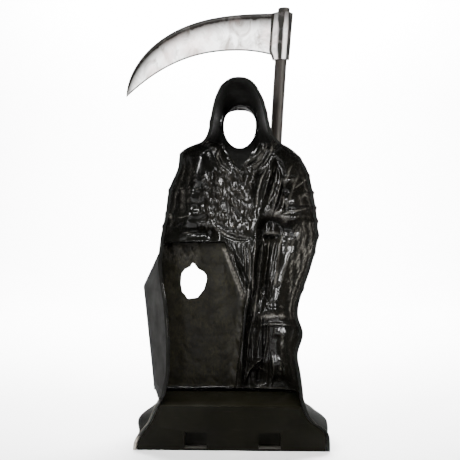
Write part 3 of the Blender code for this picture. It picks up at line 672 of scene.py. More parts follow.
def shellSkins(x, depth, z, heights, holeEdge):
    # the crinkled inside and the smoother front skin, as grids of points, with the form's normals
    points = np.stack([x + statue["shift"], statue["rear"] + depth, z], axis=2)
    normals = gridNormals(points)
    calm = smoothStep((depth - depth[:, :1]) / 0.05)[..., None]
    inner = points + normals * (heights[..., None] * calm)
    inner[..., 2] = np.maximum(inner[..., 2], 0.0)
    inner[0, :, 2] = 0.0
    # the front skin lies a wall's thickness in front of a slightly softened copy
    soft = blurred(points, cloth["softening"])
    softNormals = blurred(gridNormals(soft), 2)
    softNormals /= np.maximum(np.linalg.norm(softNormals, axis=2, keepdims=True), 1e-9)
    frontward = np.array([0.0, statue["wall"], 0.0])
    outer = soft + softNormals * statue["wall"]
    outer = np.where(holeEdge[..., None], inner + frontward, outer)
    # the inside stays behind the front skin everywhere
    gap = np.sum((outer - inner) * normals, axis=2)
    short = np.maximum(cloth["thinnest"] * statue["wall"] - gap, 0.0)
    inner -= normals * (short[..., None] * calm)
    outer[0, :, 2] = 0.0
    # the front skin's edge lies straight in front of the open back's edge
    for column in (0, 1, 2, -3, -2, -1):
        outer[:, column] = inner[:, column] + frontward
    # the stones keep within the base's own width and depth
    outer[..., 0] = np.minimum(outer[..., 0], statue["shift"] + statue["baseX"] + statue["baseWidth"] / 2)
    outer[..., 1] = np.minimum(outer[..., 1], statue["rear"] + statue["baseDepth"] - statue["wall"] / 2)
    return inner, outer, normals


class Paint:
    # a Principled material, with short ways to add the nodes that feed it

    def __init__(self, name):
        self.material = bpy.data.materials.new(name)
        self.material.use_nodes = True
        self.nodes = self.material.node_tree.nodes
        self.links = self.material.node_tree.links
        self.shader = self.nodes["Principled BSDF"]
        self.place = self.nodes.new("ShaderNodeTexCoord").outputs["Object"]

    def feed(self, socket, value):
        # links another node's output, or sets a number
        if isinstance(value, bpy.types.NodeSocket):
            self.links.new(value, socket)
        else:
            socket.default_value = value

    def noise(self, scale, detail, rough, stretch=(1, 1, 1), distortion=0.0):
        mapping = self.nodes.new("ShaderNodeMapping")
        mapping.inputs["Scale"].default_value = stretch
        self.links.new(self.place, mapping.inputs["Vector"])
        texture = self.nodes.new("ShaderNodeTexNoise")
        texture.inputs["Scale"].default_value = scale
        texture.inputs["Detail"].default_value = detail
        texture.inputs["Roughness"].default_value = rough
        texture.inputs["Distortion"].default_value = distortion
        self.links.new(mapping.outputs["Vector"], texture.inputs["Vector"])
        return texture.outputs["Fac"]

    def spread(self, value, low, high, span=(0.35, 0.65)):
        # spreads the span of a noise from low to high
        node = self.nodes.new("ShaderNodeMapRange")
        node.inputs["From Min"].default_value, node.inputs["From Max"].default_value = span
        node.inputs["To Min"].default_value, node.inputs["To Max"].default_value = low, high
        self.links.new(value, node.inputs["Value"])
        return node.outputs["Result"]

    def mix(self, share, first, second):
        # colours are outputs or triples
        node = self.nodes.new("ShaderNodeMix")
        node.data_type = 'RGBA'
        self.links.new(share, node.inputs["Factor"])
        for name, colour in (("A", first), ("B", second)):
            self.feed(node.inputs[name], (*colour, 1) if isinstance(colour, tuple) else colour)
        return node.outputs["Result"]

    def calculate(self, operation, first, second):
        node = self.nodes.new("ShaderNodeMath")
        node.operation = operation
        self.feed(node.inputs[0], first)
        self.feed(node.inputs[1], second)
        return node.outputs["Value"]

    def times(self, first, second):
        return self.calculate('MULTIPLY', first, second)

    def tints(self):
        # the mesh's own red, green, blue and alpha
        tint = self.nodes.new("ShaderNodeAttribute")
        tint.attribute_name = "tints"
        split = self.nodes.new("ShaderNodeSeparateColor")
        self.links.new(tint.outputs["Color"], split.inputs["Color"])
        return [split.outputs[name] for name in ("Red", "Green", "Blue")] + [tint.outputs["Alpha"]]

    def bump(self, height, distance, strength, below=None):
        node = self.nodes.new("ShaderNodeBump")
        node.inputs["Distance"].default_value = distance
        self.feed(node.inputs["Strength"], strength)
        self.links.new(height, node.inputs["Height"])
        if below is not None:
            self.links.new(below, node.inputs["Normal"])
        self.links.new(node.outputs["Normal"], self.shader.inputs["Normal"])
        return node.outputs["Normal"]

    def finish(self, colour, roughness, sheen):
        self.feed(self.shader.inputs["Base Color"], colour)
        self.feed(self.shader.inputs["Roughness"], roughness)
        self.shader.inputs["Specular IOR Level"].default_value = sheen
        return self.material


laminate = {
    "dark": (0.0030, 0.0030, 0.0024), "brown": (0.0054, 0.0043, 0.0030),
    "olive": (0.0135, 0.0122, 0.0056),
    "dustAndHighlight": (0.150, 0.141, 0.124),      # pale dust on the folds, also standing for painted highlights
    "raw": (0.36, 0.33, 0.28),          # trimmed glass fibre where the paint is off, also a painted highlight up the trimmed edges
    "fibre": 0.0004, "lump": 0.0008,    # heights of the bump
    "lidCover": 0.6,                    # how much of the lid's fibres show
}


def makeLaminate(name, sheen, gloss, dull):
    # the tints hold: red how rough and brown the cloth is, less in the grooves as painted shade, green the
    # coffin lid, blue bare edges with a painted highlight up them, alpha dust and painted highlights
    paint = Paint(name)
    rough, lid, bareAndEdgeHighlight, dustAndHighlightMask = paint.tints()
    broad = paint.noise(9, 3, 0.6)
    middle = paint.noise(46, 5, 0.6)
    fibre = paint.noise(120, 6, 0.65, (1.0, 0.5, 0.45), 1.2)
    weave = paint.noise(230, 3, 0.7, (0.4, 1.0, 1.0), 0.8)
    cover = paint.calculate('MAXIMUM', rough, paint.times(lid, laminate["lidCover"]))
    # the brown stain, which the tints thin out in the grooves as painted shade
    brown = paint.times(paint.spread(middle, 0.0, 1.0), cover)
    colour = paint.mix(brown, laminate["dark"], laminate["brown"])
    olive = paint.times(paint.spread(broad, 0.2, 0.9), lid)
    olive = paint.times(olive, paint.spread(fibre, 0.0, 1.0, (0.42, 0.62)))
    colour = paint.mix(olive, colour, laminate["olive"])
    # dust and painted highlights on the folds
    dustAndHighlight = paint.times(dustAndHighlightMask, paint.spread(fibre, 0.1, 1.0, (0.38, 0.62)))
    colour = paint.mix(dustAndHighlight, colour, laminate["dustAndHighlight"])
    # bare fibre, with a painted highlight up the trimmed edges
    colour = paint.mix(paint.times(bareAndEdgeHighlight, paint.spread(middle, 0.4, 1.0)), colour, laminate["raw"])
    strength = paint.calculate('MAXIMUM', cover, 0.10)
    lumps = paint.bump(middle, laminate["lump"], strength)
    fibres = paint.calculate('ADD', fibre, paint.times(weave, 0.4))
    paint.bump(fibres, laminate["fibre"], strength, lumps)
    return paint.finish(colour, paint.spread(fibre, gloss, dull), sheen)


hoodCoat = {
    "dark": (0.0042, 0.0042, 0.0038), "light": (0.0078, 0.0079, 0.0075),
    "sheen": 0.001, "waves": 0.0020,
}


def makeHoodPaint():
    # the hood is smooth inside, under a duller coat
    paint = Paint("hoodPaint")
    broad = paint.noise(12, 4, 0.6)
    fine = paint.noise(140, 4, 0.6)
    colour = paint.mix(paint.spread(broad, 0, 1), hoodCoat["dark"], hoodCoat["light"])
    paint.bump(broad, hoodCoat["waves"], 0.4)
    return paint.finish(colour, paint.spread(fine, 0.46, 0.58), hoodCoat["sheen"])


def makeOutside(name, dark, light, sheen, roughness):
    paint = Paint(name)
    broad = paint.noise(8, 4, 0.6)
    fine = paint.noise(160, 4, 0.6)
    paint.bump(fine, 0.0006, 0.5)
    colour = paint.mix(paint.spread(broad, 0, 1), dark, light)
    return paint.finish(colour, paint.spread(fine, roughness, roughness + 0.14), sheen)


scuffed = (0.007, 0.0065, 0.005)


def makeStepPaint(name, dark, light, sheen):
    paint = Paint(name)
    broad = paint.noise(5, 4, 0.6)
    fine = paint.noise(190, 4, 0.6)
    scuff = paint.noise(17, 7, 0.72, (0.35, 1.0, 3.0), 0.6)
    colour = paint.mix(paint.spread(broad, 0, 1), dark, light)
    colour = paint.mix(paint.spread(scuff, 0.0, 1.0, (0.60, 0.74)), colour, scuffed)
    paint.bump(fine, 0.0005, 0.45)
    return paint.finish(colour, paint.spread(broad, 0.34, 0.46), sheen)


poleCoat = {
    "dark": (0.0022, 0.0016, 0.0012), "brown": (0.0125, 0.0085, 0.0062), "grey": (0.0085, 0.0080, 0.0070),
    "dustAndHighlight": (0.060, 0.055, 0.049), "sheen": 0.10, "streak": 0.0022, "fine": 0.0010,
}


def makePolePaint():
    # the tints' red channel holds the pale streak, dust and a painted highlight
    paint = Paint("polePaint")
    dustAndHighlightMask = paint.tints()[0]
    streak = paint.noise(26, 6, 0.65, (5.0, 5.0, 0.35), 0.8)
    patch = paint.noise(5.5, 4, 0.6, (1.5, 1.5, 1.0))
    fine = paint.noise(120, 4, 0.6, (2.5, 2.5, 0.5))
    colour = paint.mix(paint.spread(streak, 0, 1), poleCoat["dark"], poleCoat["brown"])
    colour = paint.mix(paint.spread(patch, 0.0, 0.5), colour, poleCoat["grey"])
    colour = paint.mix(paint.times(dustAndHighlightMask, paint.spread(streak, 0.35, 1.0)), colour, poleCoat["dustAndHighlight"])
    lumps = paint.bump(streak, poleCoat["streak"], 0.7)
    paint.bump(fine, poleCoat["fine"], 0.6, lumps)
    return paint.finish(colour, paint.spread(streak, 0.34, 0.62), poleCoat["sheen"])


silver = {
    "grey": (0.30, 0.27, 0.25), "bright": (0.96, 0.95, 0.94), "pink": (0.78, 0.62, 0.59),
    "black": (0.006, 0.005, 0.004), "sheen": 0.08,
}


def makeSilverPaint():
    # the tints' red channel holds the black along the blade's back, and the collar's painted shade and
    # reflections
    paint = Paint("silverPaint")
    shade = paint.tints()[0]
    cloud = paint.noise(11, 5, 0.6, (1.0, 1.0, 0.8), 0.8)
    blush = paint.noise(7.5, 4, 0.6)
    fine = paint.noise(220, 3, 0.5)
    colour = paint.mix(paint.spread(cloud, 0.0, 1.0, (0.34, 0.54)), silver["grey"], silver["bright"])
    colour = paint.mix(paint.spread(blush, 0.0, 0.45, (0.48, 0.62)), colour, silver["pink"])
    shade = paint.calculate('ADD', shade, paint.spread(cloud, -0.06, 0.06))
    colour = paint.mix(paint.spread(shade, 0.0, 1.0, (0.06, 0.98)), colour, silver["black"])
    paint.bump(fine, 0.0005, 0.4)
    return paint.finish(colour, paint.spread(cloud, 0.34, 0.48), silver["sheen"])


# Sheen and the least and greatest roughness, or two colours, sheen and roughness
blackLaminate = makeLaminate("blackLaminate", 0.22, 0.12, 0.26)
lidLaminate = makeLaminate("lidLaminate", 0.10, 0.34, 0.56)
blackOutside = makeOutside("blackOutside", (0.003, 0.003, 0.003), (0.008, 0.008, 0.0075), 0.24, 0.26)
# the sides are painted lighter than the front, as painted light
sideOutside = makeOutside("sideOutside", (0.010, 0.010, 0.0097), (0.017, 0.017, 0.0164), 0.0, 0.60)
hoodPaint = makeHoodPaint()
stepPaint = makeStepPaint("stepPaint", (0.0012, 0.0011, 0.0004), (0.0022, 0.0020, 0.0008), 0.05)
# paler copies for the upward faces and the pockets' floors, as painted light
sillPaint = makeStepPaint("sillPaint", (0.020, 0.020, 0.017), (0.034, 0.033, 0.029), 0.14)
treadPaint = makeStepPaint("treadPaint", (0.0035, 0.0032, 0.0014), (0.0060, 0.0055, 0.0028), 0.14)
polePaint = makePolePaint()
silverPaint = makeSilverPaint()
print("materials made")

dirtAndPaintedLight = {
    "bareAndEdgeHighlight": 0.95, "bareHeight": 0.085,      # paint missing from the trimmed edge, at the left foot
    # dust that also stands for painted highlights, on crests, strokes and the crumpled corner; the
    # margin's is a painted highlight
    "crestDustAndHighlight": 0.6, "strokeDustAndHighlight": 0.75, "marginPaintedHighlight": 0.75, "cornerDustAndHighlight": 0.30,
    "dustAndHighlightBelow": 0.45,                      # share of the dust and painted highlight that is left at the robe's foot
    "crest": 0.0035, "groove": 0.0045,      # reliefs that count as a full crest and a full groove
}


def clothTints(x, z, inner, normals, zones, sharp):
    # red brown stain with painted shade in the grooves, green lid, blue bare fibre with a painted
    # highlight up the trimmed edges, alpha dust and painted highlights, for each point of the inside
    high, side = z / unit, x / unit
    bareAndEdgeHighlight = np.zeros(x.shape)
    bareAndEdgeHighlight[:, :2] = dirtAndPaintedLight["bareAndEdgeHighlight"] * smoothStep((dirtAndPaintedLight["bareHeight"] - z[:, :2]) / 0.05)
    # a faint pale line up both trimmed edges over the base: bare fibre and a painted highlight on the
    # flange
    foot = smoothStep((0.33 - z[:, 0]) / 0.08)
    bareAndEdgeHighlight[:, 0] = np.maximum(bareAndEdgeHighlight[:, 0], 0.16 * foot)
    bareAndEdgeHighlight[:, -1] = 0.10 * foot
    # the folds that stand out to the back get pale dust and painted highlights, and the grooves between
    # them painted shade
    relief = np.sum((inner - blurred(inner, 14)) * normals, axis=2)
    crest = np.clip(-relief / dirtAndPaintedLight["crest"] - 0.15, 0, 1)
    groove = np.clip(relief / dirtAndPaintedLight["groove"], 0, 1)
    dustAndHighlightMask = 0.95 * zones["sleeve"] + 0.18 * zones["rough"]
    dustAndHighlightMask = np.maximum(dustAndHighlightMask, 0.5 * smoothStep((side + 2.0) / 3.0) * smoothStep((58.0 - high) / 3.0))
    dustAndHighlightMask = np.maximum(dustAndHighlightMask, 0.35 * between(high, 62.0, 3.0, 84.0, 4.0))
    dustAndHighlight = dirtAndPaintedLight["crestDustAndHighlight"] * np.clip(dustAndHighlightMask, 0, 1) * crest * ~zones["lid"]
    # the long carved folds get pale strokes along their middles, dust and painted highlights
    longFolds = [(points, radius) for points, radius, height in folds if height > 0.6 and radius < 1.3]
    strokes = np.max([fold(side, high, points, 0.42 * radius) for points, radius in longFolds], axis=0)
    patches = 0.35 + 0.65 * smoothStep((noiseField(x, 0.35 * z, 30.0, 6.6, 3) + 0.2) / 0.5)
    dustAndHighlight = np.maximum(dustAndHighlight, dirtAndPaintedLight["strokeDustAndHighlight"] * strokes * patches * ~zones["lid"])
    dustAndHighlight = dustAndHighlight * (dirtAndPaintedLight["dustAndHighlightBelow"] + (1 - dirtAndPaintedLight["dustAndHighlightBelow"]) * smoothStep((high - 31.0) / 4.0))
    # the lid's upper slanted margin gets a painted highlight, and its crumpled corner dust and painted
    # highlights
    margin = coffinEdges(z)[1] - coffin["side"] - x
    highlightedMargin = smoothStep((coffin["edgeRound"] - margin) / 0.010) * (margin > -0.002) * zones["lid"]
    highlightedMargin = highlightedMargin * between(high, 37.5, 2.5, 53.6, 1.2)
    dustAndHighlight = np.maximum(dustAndHighlight, dirtAndPaintedLight["marginPaintedHighlight"] * highlightedMargin)
    crumpled = zones["corner"] * np.clip(0.6 * crest + 0.9 * sharp - 0.2, 0, 1)
    dustAndHighlight = np.maximum(dustAndHighlight, dirtAndPaintedLight["cornerDustAndHighlight"] * crumpled)
    # the brown is thinned in the grooves as painted shade
    brownWithGrooveShade = np.clip(np.maximum(zones["rough"], zones["sleeve"]), 0, 1) * (1 - 0.8 * groove)
    return np.stack([brownWithGrooveShade, zones["lid"] * 1.0, bareAndEdgeHighlight, dustAndHighlight], axis=2).reshape(-1, 4)


def paintInside(mesh, columns, lidPoints):
    # the hood, the neck and the trimmed rims have the duller coat, and the lid its own laminate
    mesh.materials.append(hoodPaint)
    mesh.materials.append(lidLaminate)
    for face in mesh.polygons:
        away, high = abs(face.center.x - statue["shift"] - faceHole["x"]), face.center.z
        besideHole = ringShare((faceHole["x"] + away) / unit, high / unit, carving["holeLip"]) > 1.04
        inHood = high > 1.655 and besideHole
        inNeck = 1.500 + 1.5 * away < high < 1.70 and away < 0.085
        column = face.vertices[0] % columns
        atRightRim = column >= columns - 1 - skin["flangeColumns"]
        glossy = column == 1 and (0.80 < high < 0.885 or 0.60 < high < 0.70)
        atLeftRim = column < skin["flangeColumns"] and high > 0.27 and not glossy
        if inHood or inNeck or atRightRim or atLeftRim:
            face.material_index = 1
        elif lidPoints[face.vertices[0]]:
            face.material_index = 2


def paintOutside(mesh, skinFaces):
    # the sides are duller and painted lighter, as painted light from the side; the rims and the base are
    # duller
    mesh.materials.append(sideOutside)
    mesh.materials.append(hoodPaint)
    for face in mesh.polygons:
        if face.index >= skinFaces or (face.center.z < 0.3 and face.normal.y < 0.85):
            face.material_index = 2
        elif abs(face.normal.x) > 0.62:
            face.material_index = 1


def dropLoose(piece):
    tidy = bmesh.new()
    tidy.from_mesh(piece.data)
    loose = [vertex for vertex in tidy.verts if not vertex.link_faces]
    bmesh.ops.delete(tidy, geom=loose, context='VERTS')
    tidy.to_mesh(piece.data)
    tidy.free()


def makeShell():
    x, depth, z = shellGrid()
    keep = np.ones((x.shape[0] - 1, x.shape[1] - 1), bool)
    holeEdge = cutHole(x, z, depth, keep, faceHoleOutline())
    holeEdge |= cutHole(x, z, depth, keep, lidHoleOutline())
    print("crinkling the inside")
    zones = shellZones(x, depth, z)
    sharp = sharpCreases(x, z)
    heights = crinkleHeights(x, depth, z, zones, sharp)
    inner, outer, normals = shellSkins(x, depth, z, heights, holeEdge)
    tints = clothTints(x, z, inner, normals, zones, sharp)
    columns, count = x.shape[1], x.size
    inside = meshObject("shellInside", inner.reshape(-1, 3), gridFaces(keep, columns, False),
                        blackLaminate, tints)
    faces = [tuple(face) for face in gridFaces(keep, columns, True)]
    faces += [(a, b, b + count, a + count) for a, b in rimStrip(keep, columns)]
    points = np.vstack([outer.reshape(-1, 3), inner.reshape(-1, 3)])
    outside = meshObject("shellOutside", points, faces, blackOutside)
    paintInside(inside.data, columns, zones["lid"].ravel())
    paintOutside(outside.data, int(keep.sum()))
    for piece in (inside, outside):
        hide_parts("figure_shell")
        dropLoose(piece)
    print("shell made", len(inside.data.polygons), len(outside.data.polygons))


print("building the shell")
makeShell()

hand = {
    "finger": 0.0098,       # radius of a finger between its joints
    "knuckle": 0.0026,      # how much thicker the joints are
    "rise": 0.0205,         # from one finger to the next
    "lowest": 0.006,        # the little finger, over the pole's foot
    "lengths": (0.93, 1.0, 1.04, 1.0),
    # angle of each joint round the pole and its thickness; the last one is at the finger's tip
    "joints": [(-35, 1.25), (12, 1.06), (70, 1.0), (118, 1.0), (118, 0.86)], "tipTurn": 62,
    "gap": 0.0012, "voxel": 0.0026, "smoothing": 4,
    "palm": (0.046, -0.022, 0.036), "wrist": (0.098, -0.030, -0.012), "wristRadius": 0.0235,
    # the thumb goes up behind the pole and over its left side
    "thumb": [(0.044, -0.020, 0.070), (0.022, 0.046, 0.092), (-0.020, 0.046, 0.090),
              (-0.042, 0.020, 0.084)],
}


def capsule(build, start, end, firstRadius, lastRadius):
    # a row of balls, which the remesh joins
    start, end = Vector(start), Vector(end)
    count = max(2, int((end - start).length / (0.5 * min(firstRadius, lastRadius))) + 1)
    for index in range(count + 1):
        share = index / count
        radius = firstRadius + (lastRadius - firstRadius) * share
        ball = bmesh.ops.create_icosphere(build, subdivisions=2, radius=radius)
        bmesh.ops.translate(build, verts=ball["verts"], vec=start.lerp(end, share))


def remeshed(build, name, voxel, smoothing):
    mesh = bpy.data.meshes.new(name + "Draft")
    build.to_mesh(mesh)
    build.free()
    draft = bpy.data.objects.new(name + "Draft", mesh)
    bpy.context.scene.collection.objects.link(draft)
    grid = draft.modifiers.new("grid", 'REMESH')
    grid.mode = 'VOXEL'
    grid.voxel_size = voxel
    soft = draft.modifiers.new("soft", 'SMOOTH')
    soft.iterations = smoothing
    done = bpy.data.meshes.new_from_object(draft.evaluated_get(bpy.context.evaluated_depsgraph_get()))
    bpy.data.objects.remove(draft, do_unlink=True)
    return done


def poleAxis(z):
    return Vector((poleX(z) + statue["shift"], statue["rear"] + pole["depth"], z))


def makeFinger(build, number):
    around = pole["radius"] + hand["gap"] + hand["finger"]
    height = pole["foot"] + hand["lowest"] + number * hand["rise"]
    places, thick = [], []
    for index, (angle, thickness) in enumerate(hand["joints"]):
        if index == len(hand["joints"]) - 1:
            angle += hand["tipTurn"] * hand["lengths"][number]
        turn = math.radians(angle)
        reach = around * (1.10 if index in (1, 3) else 1.0)     # the knuckles stand out
        droop = 0.004 * math.sin(math.radians(max(angle, 0)))
        place = poleAxis(height) + Vector((reach * math.cos(turn), reach * math.sin(turn), -droop))
        places.append(place)
        thick.append(hand["finger"] * thickness + hand["knuckle"])
    thin = 0.92 * hand["finger"]
    for index, (start, end) in enumerate(zip(places, places[1:])):
        middle = (start + end) / 2
        axis = poleAxis(height)
        axis.z = middle.z
        middle = axis + (middle - axis).normalized() * around
        capsule(build, start, middle, thick[index], thin)
        capsule(build, middle, end, thin, thick[index + 1])


def makeHand():
    # a thin hand closed round the pole, its knuckles to the front
    build = bmesh.new()
    for number in range(4):
        makeFinger(build, number)
    foot = poleAxis(pole["foot"])
    palm, wrist = foot + Vector(hand["palm"]), foot + Vector(hand["wrist"])
    for number in range(4):
        base = foot + Vector((0.040, -0.020, hand["lowest"] + number * hand["rise"]))
        capsule(build, base, palm + Vector((0.022, -0.006, 0.35 * (base.z - palm.z))), 0.0125, 0.0165)
    capsule(build, palm + Vector((0.018, -0.004, -0.010)), wrist, 0.024, hand["wristRadius"])
    capsule(build, wrist, wrist + Vector((0.050, -0.030, -0.012)), hand["wristRadius"], 0.028)
    for index, (start, end) in enumerate(zip(hand["thumb"], hand["thumb"][1:])):
        thinner = 0.001 * index
        capsule(build, foot + Vector(start), foot + Vector(end), 0.0125 - thinner, 0.0115 - thinner)
    mesh = remeshed(build, "hand", hand["voxel"], hand["smoothing"])
    mesh.materials.clear()
    mesh.materials.append(blackOutside)
    mesh.shade_smooth()
    thing = bpy.data.objects.new("grippingHand", mesh)
    bpy.context.scene.collection.objects.link(thing)
    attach(thing, "root")
    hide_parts("figure_shell")
    print("hand made", len(mesh.polygons))


makeHand()


def ringSkin(name, rings, material, tints, caps=True):
    # rings of equal length joined into a closed skin, with a fan at each end
    wide = len(rings[0])
    points = [point for ring in rings for point in ring]
    faces = []
    for row in range(len(rings) - 1):
        for side in range(wide):
            a, b = row * wide + side, row * wide + (side + 1) % wide
            faces.append((a, b, b + wide, a + wide))
    if caps:
        for row in (0, len(rings) - 1):
            points.append(tuple(np.mean(np.array(rings[row]), axis=0)))
            for side in range(wide):
                a, b = row * wide + side, row * wide + (side + 1) % wide
                faces.append((b, a, len(points) - 1) if row == 0 else (a, b, len(points) - 1))
        tints = tints + [tints[0], tints[-1]]
    thing = meshObject(name, points, faces, material, tints)
    tidy = bmesh.new()
    tidy.from_mesh(thing.data)
    bmesh.ops.recalc_face_normals(tidy, faces=tidy.faces)
    tidy.to_mesh(thing.data)
    tidy.free()
    return thing


def makePole():
    rings, tints = [], []
    length = pole["top"] - 0.008 - pole["foot"]
    rows = [(pole["foot"] + length * row / pole["rows"], 1.0) for row in range(pole["rows"] + 1)]
    # the rounded top: height under the top, share of the radius
    rows += [(pole["top"] - drop, share) for drop, share in ((0.0045, 0.99), (0.0015, 0.945), (0.0, 0.80))]
    for z, share in rows:
        ring = []
        for side in range(pole["sides"]):
            angle = 2 * math.pi * side / pole["sides"]
            place = Vector((math.cos(angle) * 2.2, math.sin(angle) * 2.2, z * 4.5))
            grain = pole["grain"] * (1 + noise.fractal(place, 1.0, 2.0, 3))
            radius = (pole["radius"] - max(grain, 0.0)) * share
            # the pale streak of dust and painted highlight, on the side facing the back and right
            away = (angle - math.radians(pole["paleStreakAngle"]) + math.pi) % (2 * math.pi) - math.pi
            tints.append((math.exp(-(away / math.radians(pole["paleStreakSpread"])) ** 2), 0, 0, 1))
            ring.append(poleAxis(z) + Vector((radius * math.cos(angle), radius * math.sin(angle), 0)))
        rings.append(ring)
    thing = ringSkin("poleGrained", rings, polePaint, tints)
    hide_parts("scythe_pole")


makePole()

blade = {
    "reach": 0.630, "drop": 0.480, "width": 0.213, "spine": 0.026, "spineWidth": 0.030,
    "edge": 0.005, "root": 0.045, "rows": 130,
    "belly": 0.29,          # share of the reach where the edge is lowest before it falls to the tip
    "backCurve": 0.62, "edgeCurve": 2.3,
    "fade": 0.085,          # how far the black shading runs down from the back
    "bevel": 0.011,         # width of the ground strip along the cutting edge
    "hammer": 0.0012,       # depth of the hammered dents
    # the back's moulding: shares of its width down from the back, and of the half thickness
    "moulding": [(0.0, 0.30), (0.06, 0.62), (0.22, 0.88), (0.45, 1.0), (0.72, 1.0), (0.92, 0.80),
                 (1.06, 0.68)],
    "body": 0.62,           # share of the half thickness below the moulding
}
collar = {"wall": 0.011, "drop": 0.030, "length": 0.268, "sides": 96, "rows": 44}


def bladeProfile(share):
    # place along the blade, back, width, thickness and slant at a share of the way to the tip
    top = pole["top"] - collar["drop"]
    rootX = poleX(top)
    length = rootX + blade["reach"]
    back = top - blade["drop"] * (1 - (1 - share ** 3) ** blade["backCurve"])
    edge = top - blade["width"]
    if share > blade["belly"]:
        fall = (share - blade["belly"]) / (1 - blade["belly"])
        edge -= (blade["drop"] - blade["width"]) * fall ** blade["edgeCurve"]
    else:
        edge -= 0.11 * blade["width"] * ((blade["belly"] - share) / 0.2) ** 2
    width = max(back - edge, blade["edge"])
    thick = blade["edge"] + (blade["spine"] - blade["edge"]) * min(width / blade["width"] * 2.2, 1.0)
    slant = 0.10 * (width - blade["edge"]) * share
    return rootX - length * share, edge + width, width, thick, slant


def bladeSide(width, band, bevel, half):
    # one face of the blade, from the back to the cutting edge: width down and half thickness
    fine = blade["edge"] / 2 * 0.9
    side = [(down * band, out * half) for down, out in blade["moulding"]]
    start, end, body = 1.15 * band, width - bevel, blade["body"] * half
    for index in range(9):
        down = start + (end - start) * index / 8
        fall = (down - start) / max(end - start, 1e-6)
        side.append((down, body * (1 - 0.35 * fall)))
    side.append((width - 0.55 * bevel, max(0.5 * body, fine)))
    side.append((width - 0.15 * bevel, fine))
    side.append((width, 0.6 * fine))
    return side


def bladeShade(down, width, band, bevel, share):
    # how black the silver is: the back, the tip and the ground strip
    shade = 1.0
    if down > 1.02 * band:
        shade = 0.78 * max(1 - (down - band) / blade["fade"], 0.0) ** 1.5
    tip = float(smoothStep((0.10 - (1 - share)) / 0.10))
    shade = max(shade, 0.80 * tip * (1 - down / width) ** 2)
    if down > width - 0.7 * bevel:
        shade = max(shade, 0.85)
    return 1 - (1 - min(shade, 1.0)) ** 2


def makeBlade():
    rings, tints = [], []
    for row in range(blade["rows"] + 1):
        share = blade["root"] + (1 - blade["root"]) * math.sin(row / blade["rows"] * math.pi / 2)
        x, back, width, thick, slant = bladeProfile(share)
        band = min(blade["spineWidth"], 0.4 * width)
        bevel = min(blade["bevel"], 0.18 * width)
        half = thick / 2 * 0.98
        side = bladeSide(width, band, bevel, half)
        ring = []
        for sign, line in ((-1, side), (1, side[::-1])):
            for down, out in line:
                down = min(down, width)
                z = back - down
                depth = min(out, half)
                if 1.06 * band < down < width - bevel:
                    depth -= abs(blade["hammer"] * noise.noise(Vector((x * 26, sign * 3.0, z * 26))))
                shift = statue["shift"] - slant * (1 - down / width)
                ring.append((x + shift, statue["rear"] + pole["depth"] + sign * depth, z))
                tints.append((bladeShade(down, width, band, bevel, share), 0, 0, 1))
        rings.append(ring)
    thing = ringSkin("bladeShaded", rings, silverPaint, tints)
    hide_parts("scythe_blade")


def collarPaintedShade(across, share):
    # painted shade and painted reflections: the silver is blacker in a band down the middle, on both sides
    # across its width, and at the top
    shade = 0.20 + 0.62 * math.exp(-((across + 0.16) / 0.24) ** 4)
    shade += 0.62 * float(smoothStep((across - 0.46) / 0.22))
    shade += 0.55 * float(smoothStep((-across - 0.78) / 0.14))
    shade += 0.45 * float(smoothStep((0.40 - share) / 0.40))
    return 1 - (1 - min(shade, 0.96)) ** 2.2


def makeCollar():
    rings, tints = [], []
    # share of the way down, and share of the way out from the bore
    rows = [(0.0, 0.0), (0.0, 0.93)] + [(row / collar["rows"], 1.0) for row in range(collar["rows"] + 1)]
    rows += [(1.0, 0.93), (1.0, 0.0)]
    bore = pole["radius"] + 0.0004
    near = pole["radius"] + collar["wall"]
    for share, pull in rows:
        z = pole["top"] - collar["drop"] - collar["length"] * share
        right = near + 0.5 * collar["wall"] * (1 - share)
        left = near + 2.1 * collar["wall"] * (1 - 0.9 * float(smoothStep((share - 0.78) / 0.22)))
        soften = 0.0015 if pull == 1.0 and share in (0.0, 1.0) else 0.0
        ring = []
        for side in range(collar["sides"]):
            angle = 2 * math.pi * side / collar["sides"]
            across = math.cos(angle)
            facet = 1 + 0.05 * math.cos(6 * angle)
            wide = bore + ((right if across > 0 else left) * facet - bore) * pull - soften
            deep = bore + (near * facet - bore) * pull - soften
            ring.append(poleAxis(z) + Vector((wide * across, deep * math.sin(angle), 0)))
            tints.append((collarPaintedShade(across, share), 0, 0, 1))
        rings.append(ring)
    thing = ringSkin("collarFaceted", rings, silverPaint, tints, caps=False)
    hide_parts("scythe_blade")


makeBlade()
makeCollar()
print("scythe made")

step = {
    "depth": 0.345, "gap": 0.0023, "wall": 0.008, "round": 0.007, "rows": 30,
    "foot": 0.045,          # width of the flange under the step
    "pocketWidth": 0.118, "pocketHeight": 0.084, "pocketSpacing": 0.394, "pocketDepth": 0.060,
    "sill": 0.011, "pocketX": 0.003,
}


def prismMesh(name, outline, front, back):
    build = bmesh.new()
    ends = []
    for depth in (front, back):
        places = [(x + statue["shift"], statue["rear"] + depth, z) for x, z in outline]
        ends.append([build.verts.new(place) for place in places])
    build.faces.new(ends[0])
    build.faces.new(ends[1][::-1])
    for index in range(len(outline)):
        after = (index + 1) % len(outline)
        build.faces.new((ends[0][after], ends[0][index], ends[1][index], ends[1][after]))
    bmesh.ops.recalc_face_normals(build, faces=build.faces)
    mesh = bpy.data.meshes.new(name)
    build.to_mesh(mesh)
    build.free()
    thing = bpy.data.objects.new(name, mesh)
    bpy.context.scene.collection.objects.link(thing)
    return thing


def stepOutline(inset):
    heights = np.linspace(inset, statue["stepHeight"] - inset, step["rows"])
    leftEdge, rightEdge = rimEdges(heights)
    edge = statue["flange"] + step["gap"] + inset
    right = [(float(x - edge), float(z)) for x, z in zip(rightEdge, heights)]
    left = [(float(x + edge), float(z)) for x, z in zip(leftEdge, heights)]
    return right + left[::-1]


